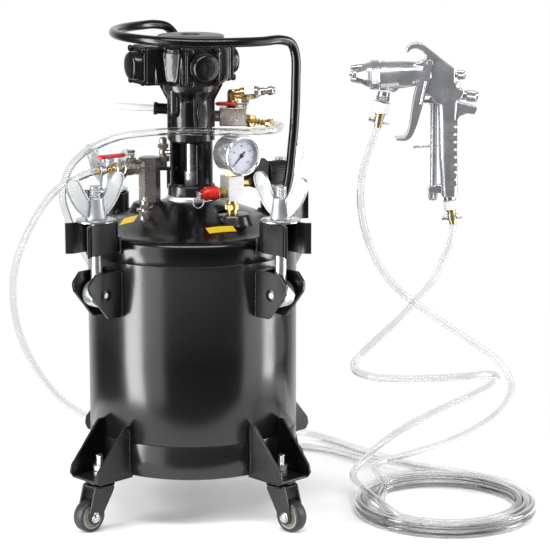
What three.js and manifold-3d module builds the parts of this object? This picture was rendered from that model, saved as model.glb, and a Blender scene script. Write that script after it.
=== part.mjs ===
// Pressure-feed paint and resin tank: a ten litre pot on casters with a clamped lid, an air-driven
// agitator, a pressure gauge, two clear hoses and a spray gun. Millimetres, +Z up, floor at z = 0.
import * as THREE from "three";
import { mergeVertices } from "three/addons/utils/BufferGeometryUtils.js";
import Module from "manifold-3d";

const wasm = await Module();
wasm.setup();

// ---- driving dimensions ----
const POT_X = -99.38;           // the pot's axis in the finished object's frame
const POT_Y = 0;
const GAP = 0.3;                // clearance between touching pieces
const BODY_R = 125;             // tank and skirt, outside
const WALL = 3;
const SKIRT_BOTTOM = 64;
const SEAM_Z = 103.2;           // where the tank wall meets the skirt
const RIM_Z = 322;              // top of the tank's rim
const LID_R = 128;
const LID_BOTTOM = 317.3;
const NECK_Z = 375;             // flat on top of the lid
const CLAMP_R = 150;            // swing bolts, from the pot's axis
const PIN_Z = 283;              // pivot of the swing bolts
const CLIP_BOTTOM = 331;
const CLIP_TOP = 367;
const CLIP_HALF_GAP = 13;
const CLIP_THICK = 4;
const WASHER_Z = 367.8;
const WASHER_THICK = 3.2;
const BOLT_R = 6.9;
const BOLT_HOLE_R = 7.7;
const STEM_R = 151;             // caster stems, from the pot's axis
const TRAIL = 17;
const WHEEL_R = 19;
const COLUMN_R = 27.5;
const MOTOR_Z = 513.2;          // bottom of the air motor
const MOTOR_TURN = 27.6;        // degrees from the front to the first cylinder
const MOTOR_SHIFT = -10;        // the cylinders sit to the left of the shaft
const LOOP_Z = 572;             // height of the handle's loop
const HANDLE_BAR_R = 5.5;
const MANIFOLD = [49, -45];     // gauge manifold on the lid
const MANIFOLD_TURN = 31;
const GAUGE_TURN = 34;
const GAUGE_Z = 437;
const RISER = [-50, 0];         // fluid outlet riser on the lid
const NIPPLE_END = [-108, -42, 416];
const BARB_START = [66, 18.5, 467];
const BARB_END = [92, -1, 466];
const HOSE_R = 4.5;
const COIL = [303.5, -40];      // centre of the coiled hoses on the floor
const COIL_INNER_R = 81;
const COIL_OUTER_R = 114.5;
const COIL_HEIGHT = 18.6;
const GUN_X = 268;              // gun body's reference point, under its hook
const GUN_Z = 523.5;            // gun's nozzle axis
const ROUND = 12;               // sides of a small turned piece
const BODY_SIDES = 24;          // sides of the tank, its skirt and the lid
const RAD = Math.PI / 180;

// ---- materials ----
const finish = (color, roughness, metalness, extra = {}) =>
  new THREE.MeshStandardMaterial({ color, roughness, metalness, ...extra });
const blackPaint = finish(0x17181a, 0.38, 0.3);
const blackCast = finish(0x1c1c1e, 0.45, 0.4);
const blackPlastic = finish(0x141414, 0.5, 0);
const zinc = finish(0xb9bdc0, 0.38, 0.9);
const nickel = finish(0xb3a89a, 0.3, 0.95);
const aluminium = finish(0xc9cbcd, 0.4, 0.9);
const polished = finish(0xc4c6c8, 0.2, 1);
const brass = finish(0xb59a4e, 0.3, 0.9);
const chrome = finish(0xd4d6d8, 0.12, 1);
const redPaint = finish(0xc41a1c, 0.35, 0.2);
const darkRubber = finish(0x2a2a2c, 0.7, 0);
const gasketRubber = finish(0xb9b2a2, 0.8, 0);
const clearVinyl = finish(0xe6e8e6, 0.15, 0, { transparent: true, opacity: 0.45 });

// ---- geometry helpers ----

/** Keeps the positions only, joins equal ones and drops triangles that have collapsed. */
function closed(geometry) {
  const bare = geometry.clone();
  for (const name of ["normal", "uv"]) bare.deleteAttribute(name);
  const shell = mergeVertices(bare, 1e-3);
  const corners = shell.index.array;
  const kept = [];
  for (let i = 0; i < corners.length; i += 3) {
    const [a, b, c] = [corners[i], corners[i + 1], corners[i + 2]];
    if (a !== b && b !== c && c !== a) kept.push(a, b, c);
  }
  shell.setIndex(kept);
  return shell;
}

function toSolid(geometry) {
  const shell = closed(geometry);
  const vertProperties = new Float32Array(shell.attributes.position.array);
  const triVerts = new Uint32Array(shell.index.array);
  return new wasm.Manifold(new wasm.Mesh({ numProp: 3, vertProperties, triVerts }));
}

function toGeometry(solid) {
  const mesh = solid.getMesh();
  const geometry = new THREE.BufferGeometry();
  geometry.setAttribute("position", new THREE.BufferAttribute(new Float32Array(mesh.vertProperties), 3));
  geometry.setIndex([...mesh.triVerts]);
  return geometry;
}

const join = (...pieces) => toGeometry(pieces.map(toSolid).reduce((sum, next) => sum.add(next)));
const cut = (piece, ...tools) =>
  toGeometry(tools.map(toSolid).reduce((rest, tool) => rest.subtract(tool), toSolid(piece)));

/** Turns a profile of [radius, height] points, listed anticlockwise, about Z. */
function turned(profile, sides = ROUND) {
  const points = profile.map(([radius, height]) => new THREE.Vector2(radius, height));
  return new THREE.LatheGeometry(points, sides).rotateX(Math.PI / 2);
}

const ring = (inner, outer, low, high, sides = ROUND) =>
  turned([[inner, low], [outer, low], [outer, high], [inner, high], [inner, low]], sides);

/** A round bar from a to b whose radius goes from startR to endR. */
function rod(a, b, startR, endR = startR, sides = 8) {
  const start = new THREE.Vector3(...a);
  const end = new THREE.Vector3(...b);
  const along = end.clone().sub(start);
  const bar = new THREE.CylinderGeometry(endR, startR, along.length(), sides);
  const turn = new THREE.Quaternion().setFromUnitVectors(
    new THREE.Vector3(0, 1, 0), along.clone().normalize());
  return bar.applyQuaternion(turn).translate(...start.add(end).multiplyScalar(0.5).toArray());
}

function block([x0, x1], [y0, y1], [z0, z1]) {
  return new THREE.BoxGeometry(x1 - x0, y1 - y0, z1 - z0)
    .translate((x0 + x1) / 2, (y0 + y1) / 2, (z0 + z1) / 2);
}

function outline(points) {
  return new THREE.Shape(points.map(([x, y]) => new THREE.Vector2(x, y)));
}

/** A plate whose outline is given in X and Z and that fills y0 to y1. */
function slab(shape, y0, y1) {
  return new THREE.ExtrudeGeometry(shape, { depth: y1 - y0, bevelEnabled: false, curveSegments: 3 })
    .rotateX(Math.PI / 2).translate(0, y1, 0);
}

/** A plate whose outline is given in X and Y and that fills z0 to z1. */
function plate(shape, z0, z1) {
  return new THREE.ExtrudeGeometry(shape, { depth: z1 - z0, bevelEnabled: false, curveSegments: 5 })
    .translate(0, 0, z0);
}

/** A round bar or hose along a smooth curve through the points. */
function swept(points, radius, sides, steps) {
  const path = new THREE.CatmullRomCurve3(points.map((p) => new THREE.Vector3(...p)));
  const section = new THREE.Shape();
  section.absarc(0, 0, radius, 0, 2 * Math.PI);
  return new THREE.ExtrudeGeometry(section, { extrudePath: path, steps, curveSegments: sides / 2 });
}

/** Pieces turned about one axis: start point, direction and stations of [distance, radius]. */
function turnedAlong(start, toward, stations, sides = 8) {
  const origin = new THREE.Vector3(...start);
  const axis = new THREE.Vector3(...toward).sub(origin).normalize();
  const profile = stations.map(([distance, radius]) => [radius, distance]);
  const first = [0, stations[0][0]];
  const last = [0, stations.at(-1)[0]];
  const piece = turned([first, ...profile, last], sides);
  const turn = new THREE.Quaternion().setFromUnitVectors(new THREE.Vector3(0, 0, 1), axis);
  return piece.applyQuaternion(turn).translate(...origin.toArray());
}

// ---- scene graph ----
const kit = new THREE.Group();
const pot = new THREE.Group();
pot.position.set(POT_X, POT_Y, 0);
kit.add(pot);

function place(name, geometry, material, parent = pot) {
  const mesh = new THREE.Mesh(closed(geometry), material);
  mesh.name = name;
  parent.add(mesh);
  return mesh;
}

/** A group standing on the pot's axis whose +X points outwards at the angle, in degrees. */
function station(angle, x = 0, y = 0) {
  const group = new THREE.Group();
  group.position.set(x, y, 0);
  group.rotation.z = angle * RAD;
  pot.add(group);
  return group;
}

const CORNERS = { front_left: -135, front_right: -45, rear_left: 135, rear_right: 45 };
const bodyCutter = () => ring(0, BODY_R + GAP, 0, 500, BODY_SIDES);

// ---- tank ----
function tankShell() {
  const inner = BODY_R - WALL;
  return turned([
    [0, 76], [60, 79], [105, 91], [121.4, SEAM_Z + GAP], [BODY_R, SEAM_Z + GAP],
    [BODY_R, RIM_Z], [114, RIM_Z], [114, RIM_Z - WALL], [inner, RIM_Z - WALL],
    [inner, 107], [103, 94], [60, 82], [0, 79],
  ], BODY_SIDES);
}

const baseSkirt = () => ring(BODY_R - WALL, BODY_R, SKIRT_BOTTOM, SEAM_Z, BODY_SIDES);

// ---- lid ----
const DOME = [[118, 345.9], [104, 349.2], [86, 355.9], [62, 364.5], [36, 373.4]];

function lidDish() {
  const top = [[LID_R, LID_BOTTOM], [LID_R, 337], [124, 343.7], ...DOME, [33, NECK_Z]];
  const under = [[9, NECK_Z], [9, 369], [34, 368], [86, 350], [112, 335], [113, 326.7],
    [125.4, 326.7], [125.4, LID_BOTTOM], [LID_R, LID_BOTTOM]];
  return turned([...top, ...under], BODY_SIDES);
}

/** One welded clip: a U that opens outwards round the swing bolt, with flared lips. */
function lidClip(angle) {
  const inner = CLIP_HALF_GAP;
  const outer = inner + CLIP_THICK;
  const bend = 139;
  const shape = new THREE.Shape();
  shape.moveTo(180, inner + 6.5);
  shape.lineTo(172, inner);
  shape.lineTo(bend, inner);
  shape.absarc(bend, 0, inner, Math.PI / 2, 1.5 * Math.PI, false);
  shape.lineTo(172, -inner);
  shape.lineTo(180, -inner - 6.5);
  shape.lineTo(177, -outer - 6);
  shape.lineTo(171, -outer);
  shape.lineTo(bend, -outer);
  shape.absarc(bend, 0, outer, 1.5 * Math.PI, Math.PI / 2, true);
  shape.lineTo(171, outer);
  shape.lineTo(177, outer + 6);
  return plate(shape, CLIP_BOTTOM, CLIP_TOP).rotateZ(angle * RAD);
}

function lid() {
  const riserPort = ring(0, 20, 358, 371.5).translate(RISER[0], RISER[1], 0);
  const gaugePort = ring(0, 22, 354, 366).translate(MANIFOLD[0], MANIFOLD[1], 0);
  const whole = join(lidDish(), riserPort, gaugePort, ...Object.values(CORNERS).map(lidClip));
  return cut(whole,
    ring(0, 20, 371.5, 390).translate(RISER[0], RISER[1], 0),
    ring(0, 22, 366, 390).translate(MANIFOLD[0], MANIFOLD[1], 0),
    ring(0, 7, 300, 390, 10).translate(RISER[0], RISER[1], 0));
}

const lidGasket = () => ring(115.5, 124.4, RIM_Z + GAP, 326.4, BODY_SIDES);

// ---- clamps, made facing +X ----
function earBracket() {
  const shape = outline([[120, 309], [120, 254], [147, 254], [151, 256], [173, 288], [175, 296],
    [172, 303.5], [164, 309]]);
  const ears = [slab(shape, 12, 16.5), slab(shape, -16.5, -12)];
  const back = block([120, 129], [-14, 14], [254, 309]);
  const pin = rod([CLAMP_R, -19, PIN_Z], [CLAMP_R, 19, PIN_Z], 5);
  return cut(join(...ears, back, pin), bodyCutter());
}

function swingBolt() {
  const eye = rod([CLAMP_R, -9, PIN_Z], [CLAMP_R, 9, PIN_Z], 15.5, 15.5, ROUND);
  const shank = rod([CLAMP_R, 0, PIN_Z], [CLAMP_R, 0, 409], BOLT_R);
  const bore = rod([CLAMP_R, -12, PIN_Z], [CLAMP_R, 12, PIN_Z], 5.9);
  return cut(join(eye, shank), bore);
}

const clampWasher = () =>
  ring(BOLT_HOLE_R, 23, WASHER_Z, WASHER_Z + WASHER_THICK).translate(CLAMP_R, 0, 0);

function wingNut() {
  const base = WASHER_Z + WASHER_THICK + GAP;
  const cone = turned([[0, base], [11.5, base], [8.8, base + 24], [0, base + 24]]);
  const wing = [[9, base + 1], [35, base + 26], [41, base + 36], [41, base + 44], [36, base + 49],
    [29, base + 50], [23, base + 45], [17, base + 31], [7, base + 21]];
  const right = slab(outline(wing), -2.2, 2.2);
  const left = slab(outline(wing), -2.2, 2.2).rotateZ(Math.PI);
  const bore = ring(0, BOLT_HOLE_R, base - 5, base + 60);
  return cut(join(cone, right, left), bore).translate(CLAMP_R, 0, 0);
}

// ---- legs and casters, made facing +X ----
function leg() {
  const side = outline([[118, 61], [166, 61], [173, 64.5], [175.5, 71], [174, 77], [132, 125],
    [118, 125]]);
  const channel = [slab(side, 22, 25), slab(side, -25, -22), block([118, 170], [-25, 25], [61, 64])];
  const stud = rod([STEM_R, 0, 47.5], [STEM_R, 0, 89], 4);
  const head = ring(0, 7, 46, 50, 8).translate(STEM_R, 0, 0);
  const race = ring(0, 13.5, 58.6, 61.5).translate(STEM_R, 0, 0);
  const nuts = [64, 71.4].map((low) => ring(0, 7.5, low, low + 6.4, 6).translate(STEM_R, 0, 0));
  return cut(join(...channel, stud, head, race, ...nuts), bodyCutter());
}

function casterFork() {
  const cheek = outline([[-13, 56], [-13, 49], [9, 14], [17, 11], [24, 14], [25, 22], [21, 40],
    [16, 56]]);
  const crown = ring(0, 14, 53, 58.2);
  const bridge = block([-13, 14], [-11.3, 11.3], [53, 56]);
  const cheeks = [slab(cheek, 9.3, 11.3), slab(cheek, -11.3, -9.3)];
  const axle = rod([TRAIL, -14, WHEEL_R], [TRAIL, 14, WHEEL_R], 3, 3, 8);
  const bolts = [-1, 1].map((side) =>
    rod([TRAIL, side * 11, WHEEL_R], [TRAIL, side * 15, WHEEL_R], 5, 5, 6));
  const bore = ring(0, 4.4, 40, 70, 8);
  return cut(join(crown, bridge, ...cheeks, axle, ...bolts), bore).translate(STEM_R, 0, 0);
}

function casterWheel() {
  const profile = [[3.4, -7.5], [17.5, -7.5], [WHEEL_R, -5.5], [WHEEL_R, 5.5], [17.5, 7.5],
    [3.4, 7.5], [3.4, -7.5]];
  return turned(profile, 16).rotateX(Math.PI / 2).translate(STEM_R + TRAIL, 0, WHEEL_R);
}

// ---- agitator ----
function agitatorColumn() {
  const wall = turned([[22, NECK_Z + GAP], [COLUMN_R, NECK_Z + GAP], [COLUMN_R, 394], [25.5, 395],
    [25.5, 446], [28, 447], [28, 458], [25, 459], [25, 492], [32, 506], [32, MOTOR_Z - GAP],
    [22, MOTOR_Z - GAP], [22, NECK_Z + GAP]], 20);
  const plug = rod([18, -10.4, 481.5], [27.5, -15.9, 481.5], 13, 13, 10);
  const hollow = ring(0, 22, 300, 600, 20);
  const window = block([-16.2, 16.2], [-60, 60], [396, 445]).rotateZ(-23 * RAD);
  return cut(join(wall, plug), hollow, window);
}

function airMotor() {
  const crankcase = turned([[0, MOTOR_Z], [38, MOTOR_Z], [46, 519], [46, 558], [40, 563], [38, 563],
    [38, 571], [12, 571], [12, 565], [0, 565]], 20);
  const parts = [crankcase];
  for (let quarter = 0; quarter < 4; quarter++) {
    const turn = (MOTOR_TURN + 90 * quarter) * RAD;
    parts.push(block([-21, 21], [-58, -20], [515, 561]).rotateZ(turn).translate(MOTOR_SHIFT, 0, 0));
    parts.push(rod([0, -50, 538], [0, -69, 538], 16, 15, 10).rotateZ(turn).translate(MOTOR_SHIFT, 0, 0));
  }
  return join(...parts);
}

function agitatorShaft() {
  const shaft = turned([[0, 105], [5, 105], [5, 360], [7.2, 376], [7.2, 393], [8.6, 393.5], [8.6, 409],
    [7.2, 409.5], [7.2, 511], [0, 511]], 12);
  const hub = ring(0, 10, 108, 126, 12);
  const blades = [0, 45, 90, 135].map((turn) =>
    block([-38, 38], [-1.25, 1.25], [110, 124]).rotateZ(turn * RAD));
  return join(shaft, hub, ...blades);
}

function lidHandle() {
  const route = [[103, -34, 335], [108, -36, 375], [115, -39, 404], [119, -41, 440], [122, -43, 475],
    [123.5, -45, 520], [123, -46, 552], [118, -50, 566], [106, -60, 571], [84, -78, 571],
    [50, -95, 571.5], [8, -104, LOOP_Z], [-33, -97, 573.5], [-65, -72, 574.3], [-84, -36, 574.5],
    [-90, 6, 574.3], [-83, 44, 574.2], [-64, 77, 574.2], [-46, 94, 574], [-32, 102, 570],
    [-22, 103, 557], [-20, 101, 530], [-20, 97, 450], [-20, 96, 380], [-20, 96, 335]];
  const domeTop = DOME.map(([radius, height]) => [radius, height + GAP]);
  const underLid = turned([[0, 300], [LID_R, 300], [LID_R, 343.7 + GAP], ...domeTop,
    [0, NECK_Z + GAP]], BODY_SIDES);
  return cut(swept(route, HANDLE_BAR_R, 8, 44), underLid);
}

// ---- gauge manifold ----
function gaugeCase() {
  const profile = [[0, -6], [20.5, -6], [21, -4.5], [21, 20.5], [22.3, 21.5], [22.3, 26.5],
    [19.5, 26.5], [19.5, 20.5], [0, 20.5]];
  const drum = turned(profile, 16).rotateX(Math.PI / 2).translate(0, 0, GAUGE_Z);
  const socket = ring(0, 11, 411.4, 419, 6);
  return join(drum, socket);
}

function gaugeNeedle() {
  const hub = rod([0, -21.2, 0], [0, -22.6, 0], 2.4, 2.4, 12);
  const pointer = block([-0.9, 0.9], [-22.4, -21.4], [-15.5, 6]);
  return join(hub, pointer).rotateY(45 * RAD).translate(0, 0, GAUGE_Z);
}

function manifoldBlock() {
  const cube = block([-10.25, 10.25], [-10.25, 10.25], [382, 411]);
  const nipple = ring(0, 6.2, 366.3, 383, 10);
  const hex = ring(0, 9, 371, 377.5, 6);
  return join(cube, nipple, hex);
}

function safetyValve() {
  const hex = turnedAlong([-10.6, 0, 392], [-50, 0, 392], [[0, 6.6], [9.5, 6.6]], 6);
  const bonnet = turnedAlong([-20, 0, 392], [-50, 0, 392],
    [[0, 8.2], [15, 8.2], [18, 5.5], [20, 5.5]], 10);
  return join(hex, bonnet);
}

function safetyPull() {
  const stem = rod([-40.4, 0, 392], [-45, 0, 392], 2, 2, 10);
  const tab = block([-46, -44.4], [-3.5, 3.5], [387, 396]);
  const hoop = new THREE.TorusGeometry(6.2, 0.8, 5, 14).rotateX(Math.PI / 2)
    .rotateZ(-20 * RAD).translate(-45.2, 0, 382.5);
  return join(stem, tab, hoop);
}

function regulatorBody() {
  const nipple = rod([10.6, 0, 402], [25, 0, 402], 6);
  const body = block([24, 42], [-14, 14], [394, 430]);
  const neck = rod([41, 0, 409.5], [45, 0, 409.5], 9);
  return join(nipple, body, neck);
}

const regulatorKnob = () => turnedAlong([45.4, 0, 409.5], [80, 0, 409.5],
  [[0, 12.5], [2, 14.5], [24, 14.5], [29, 12.5]], 12);

// ---- motor's air supply ----
function airValveBody() {
  const body = block([33, 66], [10, 32], [461, 483]);
  const inlet = rod([24.9, 21, 472], [34, 21, 472], 6.5);
  const stem = rod([64, 14, 482], [64, 14, 486], 3.5, 3.5, 12);
  const tail = turnedAlong(BARB_START, BARB_END, [[-8, 6], [10, 6], [10.5, 8], [16, 8], [16.5, 4],
    [31.8, 3.6]]);
  const columnCutter = ring(0, 28.3, 300, 600, 24);
  return cut(join(body, inlet, stem, tail), columnCutter);
}

function airValveLever() {
  const bar = block([30, 68.5], [9.5, 18.5], [486.3, 489.5]);
  const nut = ring(0, 4.5, 489, 492.5, 6).translate(64, 14, 0);
  return join(bar, nut);
}

function airInlet() {
  const upright = rod([48.5, 27, 483.3], [48.5, 27, 500], 5.6);
  const run = turnedAlong([44, 27, 496.6], [99.5, 27, 502], [[0, 6], [14, 6], [14.5, 6.9], [19, 6.9],
    [19.5, 8.4], [33, 8.4], [37, 6.4], [42, 4.3], [49, 4.3], [50, 5.3], [54, 5.3], [56, 3.6]]);
  return join(upright, run);
}

// ---- fluid outlet ----
function outletRiser() {
  const hex = ring(0, 12.5, 371.8, 426, 6);
  const dipTube = rod([0, 0, 96], [0, 0, 373], 6, 6, 12);
  return join(hex, dipTube).translate(RISER[0], RISER[1], 0);
}

function outletValve() {
  const start = [RISER[0], RISER[1], NIPPLE_END[2]];
  const body = turnedAlong(start, NIPPLE_END, [[12.8, 7.5], [17, 8.5], [31, 8.5], [31.5, 10], [43, 10],
    [43.5, 6.5], [52, 6.5], [52.5, 4.2], [71.3, 3.6]]);
  const stem = rod([-70.6, -14.9, 416], [-70.6, -14.9, 430], 4, 4, 12);
  const hexCutter = ring(0, 12.5 + GAP, 360, 430, 6).translate(RISER[0], RISER[1], 0);
  return cut(join(body, stem), hexCutter);
}

function outletLever() {
  const bar = block([-4, 47], [-4.5, 4.5], [430.3, 433.5]);
  const nut = ring(0, 4.5, 433, 436.5, 6);
  return join(bar, nut).rotateZ(Math.atan2(-42, -58)).translate(-70.6, -14.9, 0);
}

// ---- spray gun, made round its reference point; u runs from nozzle to grip, w up ----
function gunBody() {
  const casting = new THREE.Shape();
  casting.moveTo(-24, 16.5);
  casting.lineTo(3, 17);
  casting.quadraticCurveTo(9, 23, 4, 29);
  casting.quadraticCurveTo(-2, 34, -9, 31);
  casting.lineTo(-13, 26);
  casting.quadraticCurveTo(-16, 33, -8, 37.5);
  casting.quadraticCurveTo(-2, 40, 5, 37);
  casting.lineTo(41, 8);
  casting.lineTo(42, -9);
  casting.lineTo(46, -31);
  casting.quadraticCurveTo(58, -34, 70, -38);
  casting.lineTo(68, -46);
  casting.quadraticCurveTo(50, -44, 45, -60);
  casting.quadraticCurveTo(43, -100, 49, -147);
  casting.lineTo(30, -147);
  casting.quadraticCurveTo(24, -100, 29, -60);
  casting.quadraticCurveTo(27, -36, 14, -24);
  casting.lineTo(-4, -17);
  const frame = slab(casting, -11, 11);
  const barrel = turnedAlong([-48.3, 0, 0], [0, 0, 0], [[0, 17.6], [34, 17.6], [45, 13]], ROUND);
  const fluidNeck = turnedAlong([-38, 0, -10], [-47, 0, -62], [[0, 8], [22, 8], [22.5, 10.5],
    [36, 10.5], [36.5, 5], [52.5, 3.6]]);
  const airNeck = turnedAlong([39, 0, -145], [44, 0, -178], [[0, 7], [4, 7], [4.5, 8.5], [16, 8.5],
    [16.5, 4.5], [33, 3.6]]);
  const rod1 = rod([19, 0, -28], [19.5, 0, -140], 3.2, 3.2, 10);
  const foot = block([16, 32], [-6, 6], [-140, -134]);
  const hook = slab(outline([[-5, -86], [-1, -89], [22, -84], [22, -78], [8, -80]]), -5, 5);
  const needleGland = rod([-4, 0, -34], [18, 0, -34], 5, 5, 12);
  const knobSeats = [rod([38, 0, 0], [43.5, 0, 0], 6.5, 6.5, 12),
    rod([38, 0, -20.5], [57, 0, -24.4], 7.5, 7.5, 16)];
  return join(frame, barrel, fluidNeck, airNeck, rod1, foot, hook, needleGland, ...knobSeats);
}

function gunAirCap() {
  return turnedAlong([-48.7, 0, 0], [-80, 0, 0], [[0, 17.8], [11, 17.8], [12, 15.5], [22, 9],
    [26, 6.5], [32.5, 4]]);
}

function gunTrigger() {
  const blade = outline([[8, 22], [17, 21], [10, -30], [2, -56], [-8, -76], [-17, -75], [-23, -74],
    [-15, -58], [-6, -32]]);
  const whole = slab(blade, -14, 14);
  const bodySlot = block([-40, 30], [-11.6, 11.6], [-42, 40]);
  const neckSlot = block([-40, 30], [-6, 6], [-43, -40]);
  const pivot = [rod([13, -15, 17], [13, -11.6, 17], 4, 4, 12), rod([13, 11.6, 17], [13, 15, 17], 4, 4, 12)];
  return join(cut(whole, bodySlot, neckSlot), ...pivot);
}

const gunFluidKnob = () => turnedAlong([57.6, 0, -24.5], [74, 0, -26.5],
  [[0, 6.8], [11, 6.8], [14, 5.5]]);
const gunPatternKnob = () => turnedAlong([43.9, 0, 0], [60, 0, 0],
  [[0, 7], [11, 7], [13.5, 5.5]]);
const gunCheaterKnob = () => turnedAlong([19.5, 0, -140.5], [19.7, 0, -150],
  [[0, 5.5], [8, 5.5], [9.5, 4.5]]);

// ---- hoses ----
const AIR_POT_ROUTE = [[92.6, -1.5, 466], [103, -15, 466], [106, -31, 466], [101, -49, 466],
  [87, -62, 466], [66, -68, 465.5], [40, -66, 465.5], [10, -60, 465], [-20, -53, 464], [-55, -42, 460],
  [-86, -29, 453], [-110, -15, 442], [-133, 4, 426], [-147, 18, 408], [-155, 29, 387],
  [-157, 36, 367], [-153, 43, 348], [-146, 50, 326], [-137, 58, 304], [-127, 66, 281],
  [-120, 80, 245], [-112, 100, 205], [-96, 130, 150], [-72, 160, 95], [-40, 190, 48], [-5, 212, 18],
  [40, 226, 5.5], [85, 228, 4.8], [131, 218, 4.8], [171, 199, 4.8], [196, 176, 5], [222, 148, 7],
  [247, 122, 12]];
const FLUID_POT_ROUTE = [[-108.6, -42.5, 416], [-117, -47.5, 414], [-129, -48, 409], [-145, -41, 401],
  [-163, -27, 386],
  [-182, -8, 360], [-202, 12, 323], [-215, 28, 289], [-221, 42, 255], [-220, 58, 213],
  [-213, 74, 178], [-200, 97, 140], [-182, 125, 103], [-160, 155, 73], [-134, 186, 48],
  [-102, 217, 28], [-66, 244, 14], [-25, 268, 6], [20, 285, 4.8], [60, 293, 4.8], [98, 294, 4.8],
  [135, 282, 4.8], [172, 251, 4.8], [198, 219, 4.8], [223, 190, 4.8], [250, 160, 4.8],
  [276, 133, 4.8], [310, 102, 4.8]];
const FLUID_GUN_ROUTE = [[220.9, 0, 460.6], [216.5, 0, 448], [210, 0, 430], [203, 0, 404],
  [201, 0, 374], [205, 0, 344], [215, 0, 313], [230, 0, 285], [249, 5, 262], [270, 12, 244],
  [299, 20, 222], [331, 30, 198], [363, 42, 174], [386, 56, 148], [394, 70, 123], [388, 84, 99],
  [372, 94, 78], [348, 100, 60], [318, 104, 44], [285, 102, 33], [252, 90, 27], [226, 66, 25]];
const AIR_GUN_ROUTE = [[312.1, 0, 344.6], [311, 0, 335], [308, 0, 319], [301, 0, 301], [289, -3, 277],
  [269, -5, 253], [250, -5, 231], [228, -3, 209], [207, 0, 188], [194, -10, 175], [198, -30, 170],
  [218, -48, 168], [246, -58, 169], [282, -60, 170], [318, -57, 171], [349, -44, 170],
  [366, -18, 161], [363, 14, 143], [345, 37, 125], [315, 50, 107], [284, 57, 89], [255, 57, 72],
  [229, 49, 55], [208, 32, 40], [195, 6, 31]];

const hose = (route, steps) => swept(route, HOSE_R, 8, steps);
const hoseCoil = () => ring(COIL_INNER_R, COIL_OUTER_R, GAP, COIL_HEIGHT, 28).translate(COIL[0], COIL[1], 0);

// ---- assembly ----
place("tank_shell", tankShell(), blackPaint);
place("base_skirt", baseSkirt(), blackPaint);
place("lid", lid(), blackPaint);
place("lid_gasket", lidGasket(), gasketRubber);
for (const [corner, angle] of Object.entries(CORNERS)) {
  const clamp = station(angle);
  place(`leg_${corner}`, leg(), blackPaint, clamp);
  place(`ear_bracket_${corner}`, earBracket(), blackPaint, clamp);
  place(`swing_bolt_${corner}`, swingBolt(), zinc, clamp);
  place(`washer_${corner}`, clampWasher(), zinc, clamp);
  place(`wing_nut_${corner}`, wingNut(), zinc, clamp);
  place(`caster_fork_${corner}`, casterFork(), blackPaint, clamp);
  place(`caster_wheel_${corner}`, casterWheel(), darkRubber, clamp);
}

place("agitator_column", agitatorColumn(), blackCast);
place("air_motor", airMotor(), blackCast);
place("agitator_shaft", agitatorShaft(), zinc);
place("handle", lidHandle(), blackPaint);

const gauge = station(GAUGE_TURN, ...MANIFOLD);
place("gauge_case", gaugeCase(), chrome, gauge);
place("gauge_needle", gaugeNeedle(), blackPlastic, gauge);
const manifold = station(MANIFOLD_TURN, ...MANIFOLD);
place("manifold_block", manifoldBlock(), aluminium, manifold);
place("safety_valve_body", safetyValve(), redPaint, manifold);
place("safety_valve_pull", safetyPull(), zinc, manifold);
place("regulator_body", regulatorBody(), blackPlastic, manifold);
place("regulator_knob", regulatorKnob(), blackPlastic, manifold);

place("air_valve_body", airValveBody(), nickel);
place("air_valve_lever", airValveLever(), redPaint);
place("air_inlet_plug", airInlet(), brass);
place("outlet_riser", outletRiser(), nickel);
place("outlet_valve_body", outletValve(), nickel);
place("outlet_valve_lever", outletLever(), redPaint);

const gun = new THREE.Group();
gun.position.set(GUN_X, 0, GUN_Z);
pot.add(gun);
place("gun_body", gunBody(), polished, gun);
place("gun_trigger", gunTrigger(), polished, gun);
place("gun_air_cap", gunAirCap(), polished, gun);
place("gun_fluid_knob", gunFluidKnob(), polished, gun);
place("gun_pattern_knob", gunPatternKnob(), polished, gun);
place("gun_air_knob", gunCheaterKnob(), polished, gun);

place("fluid_hose_pot", hose(FLUID_POT_ROUTE, 24), clearVinyl);
place("air_hose_pot", hose(AIR_POT_ROUTE, 26), clearVinyl);
place("fluid_hose_gun", hose(FLUID_GUN_ROUTE, 13), clearVinyl);
place("air_hose_gun", hose(AIR_GUN_ROUTE, 16), clearVinyl);
place("hose_coil", hoseCoil(), clearVinyl);

export default kit;
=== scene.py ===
"""Looks of the pressure-feed tank: a black ten litre pot on casters, its air agitator, gauge,
valves, clear hoses and spray gun. Shapes are in millimetres in the pot's own frame (its axis at
x = 0, the floor at z = 0) and each piece is carried into the row's frame, in metres, when made."""
import math
import random

import bmesh
import bpy
from mathutils import Matrix, Vector


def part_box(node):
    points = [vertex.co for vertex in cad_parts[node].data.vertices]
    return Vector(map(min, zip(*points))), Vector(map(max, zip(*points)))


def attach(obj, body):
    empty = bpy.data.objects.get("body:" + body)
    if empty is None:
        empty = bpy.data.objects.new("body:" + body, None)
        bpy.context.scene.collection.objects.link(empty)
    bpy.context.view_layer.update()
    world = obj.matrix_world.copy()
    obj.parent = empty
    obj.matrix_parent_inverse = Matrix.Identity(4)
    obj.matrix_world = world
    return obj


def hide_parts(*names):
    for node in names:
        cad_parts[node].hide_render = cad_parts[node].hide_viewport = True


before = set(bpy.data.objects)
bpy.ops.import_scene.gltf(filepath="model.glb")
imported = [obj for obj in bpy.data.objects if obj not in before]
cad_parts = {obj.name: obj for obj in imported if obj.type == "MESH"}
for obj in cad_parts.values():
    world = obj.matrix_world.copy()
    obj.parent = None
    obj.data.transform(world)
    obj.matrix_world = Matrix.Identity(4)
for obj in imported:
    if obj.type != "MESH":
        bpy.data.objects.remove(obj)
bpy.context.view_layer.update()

# ---- driving dimensions ----
TANK_LOW, TANK_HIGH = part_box("tank_shell")
POT_X = (TANK_LOW[0] + TANK_HIGH[0]) / 2
MM = 0.001
POT = Matrix.Translation((POT_X, 0, 0)) @ Matrix.Scale(MM, 4)
CORNERS = {"front_left": -135, "front_right": -45, "rear_left": 135, "rear_right": 45}

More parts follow.
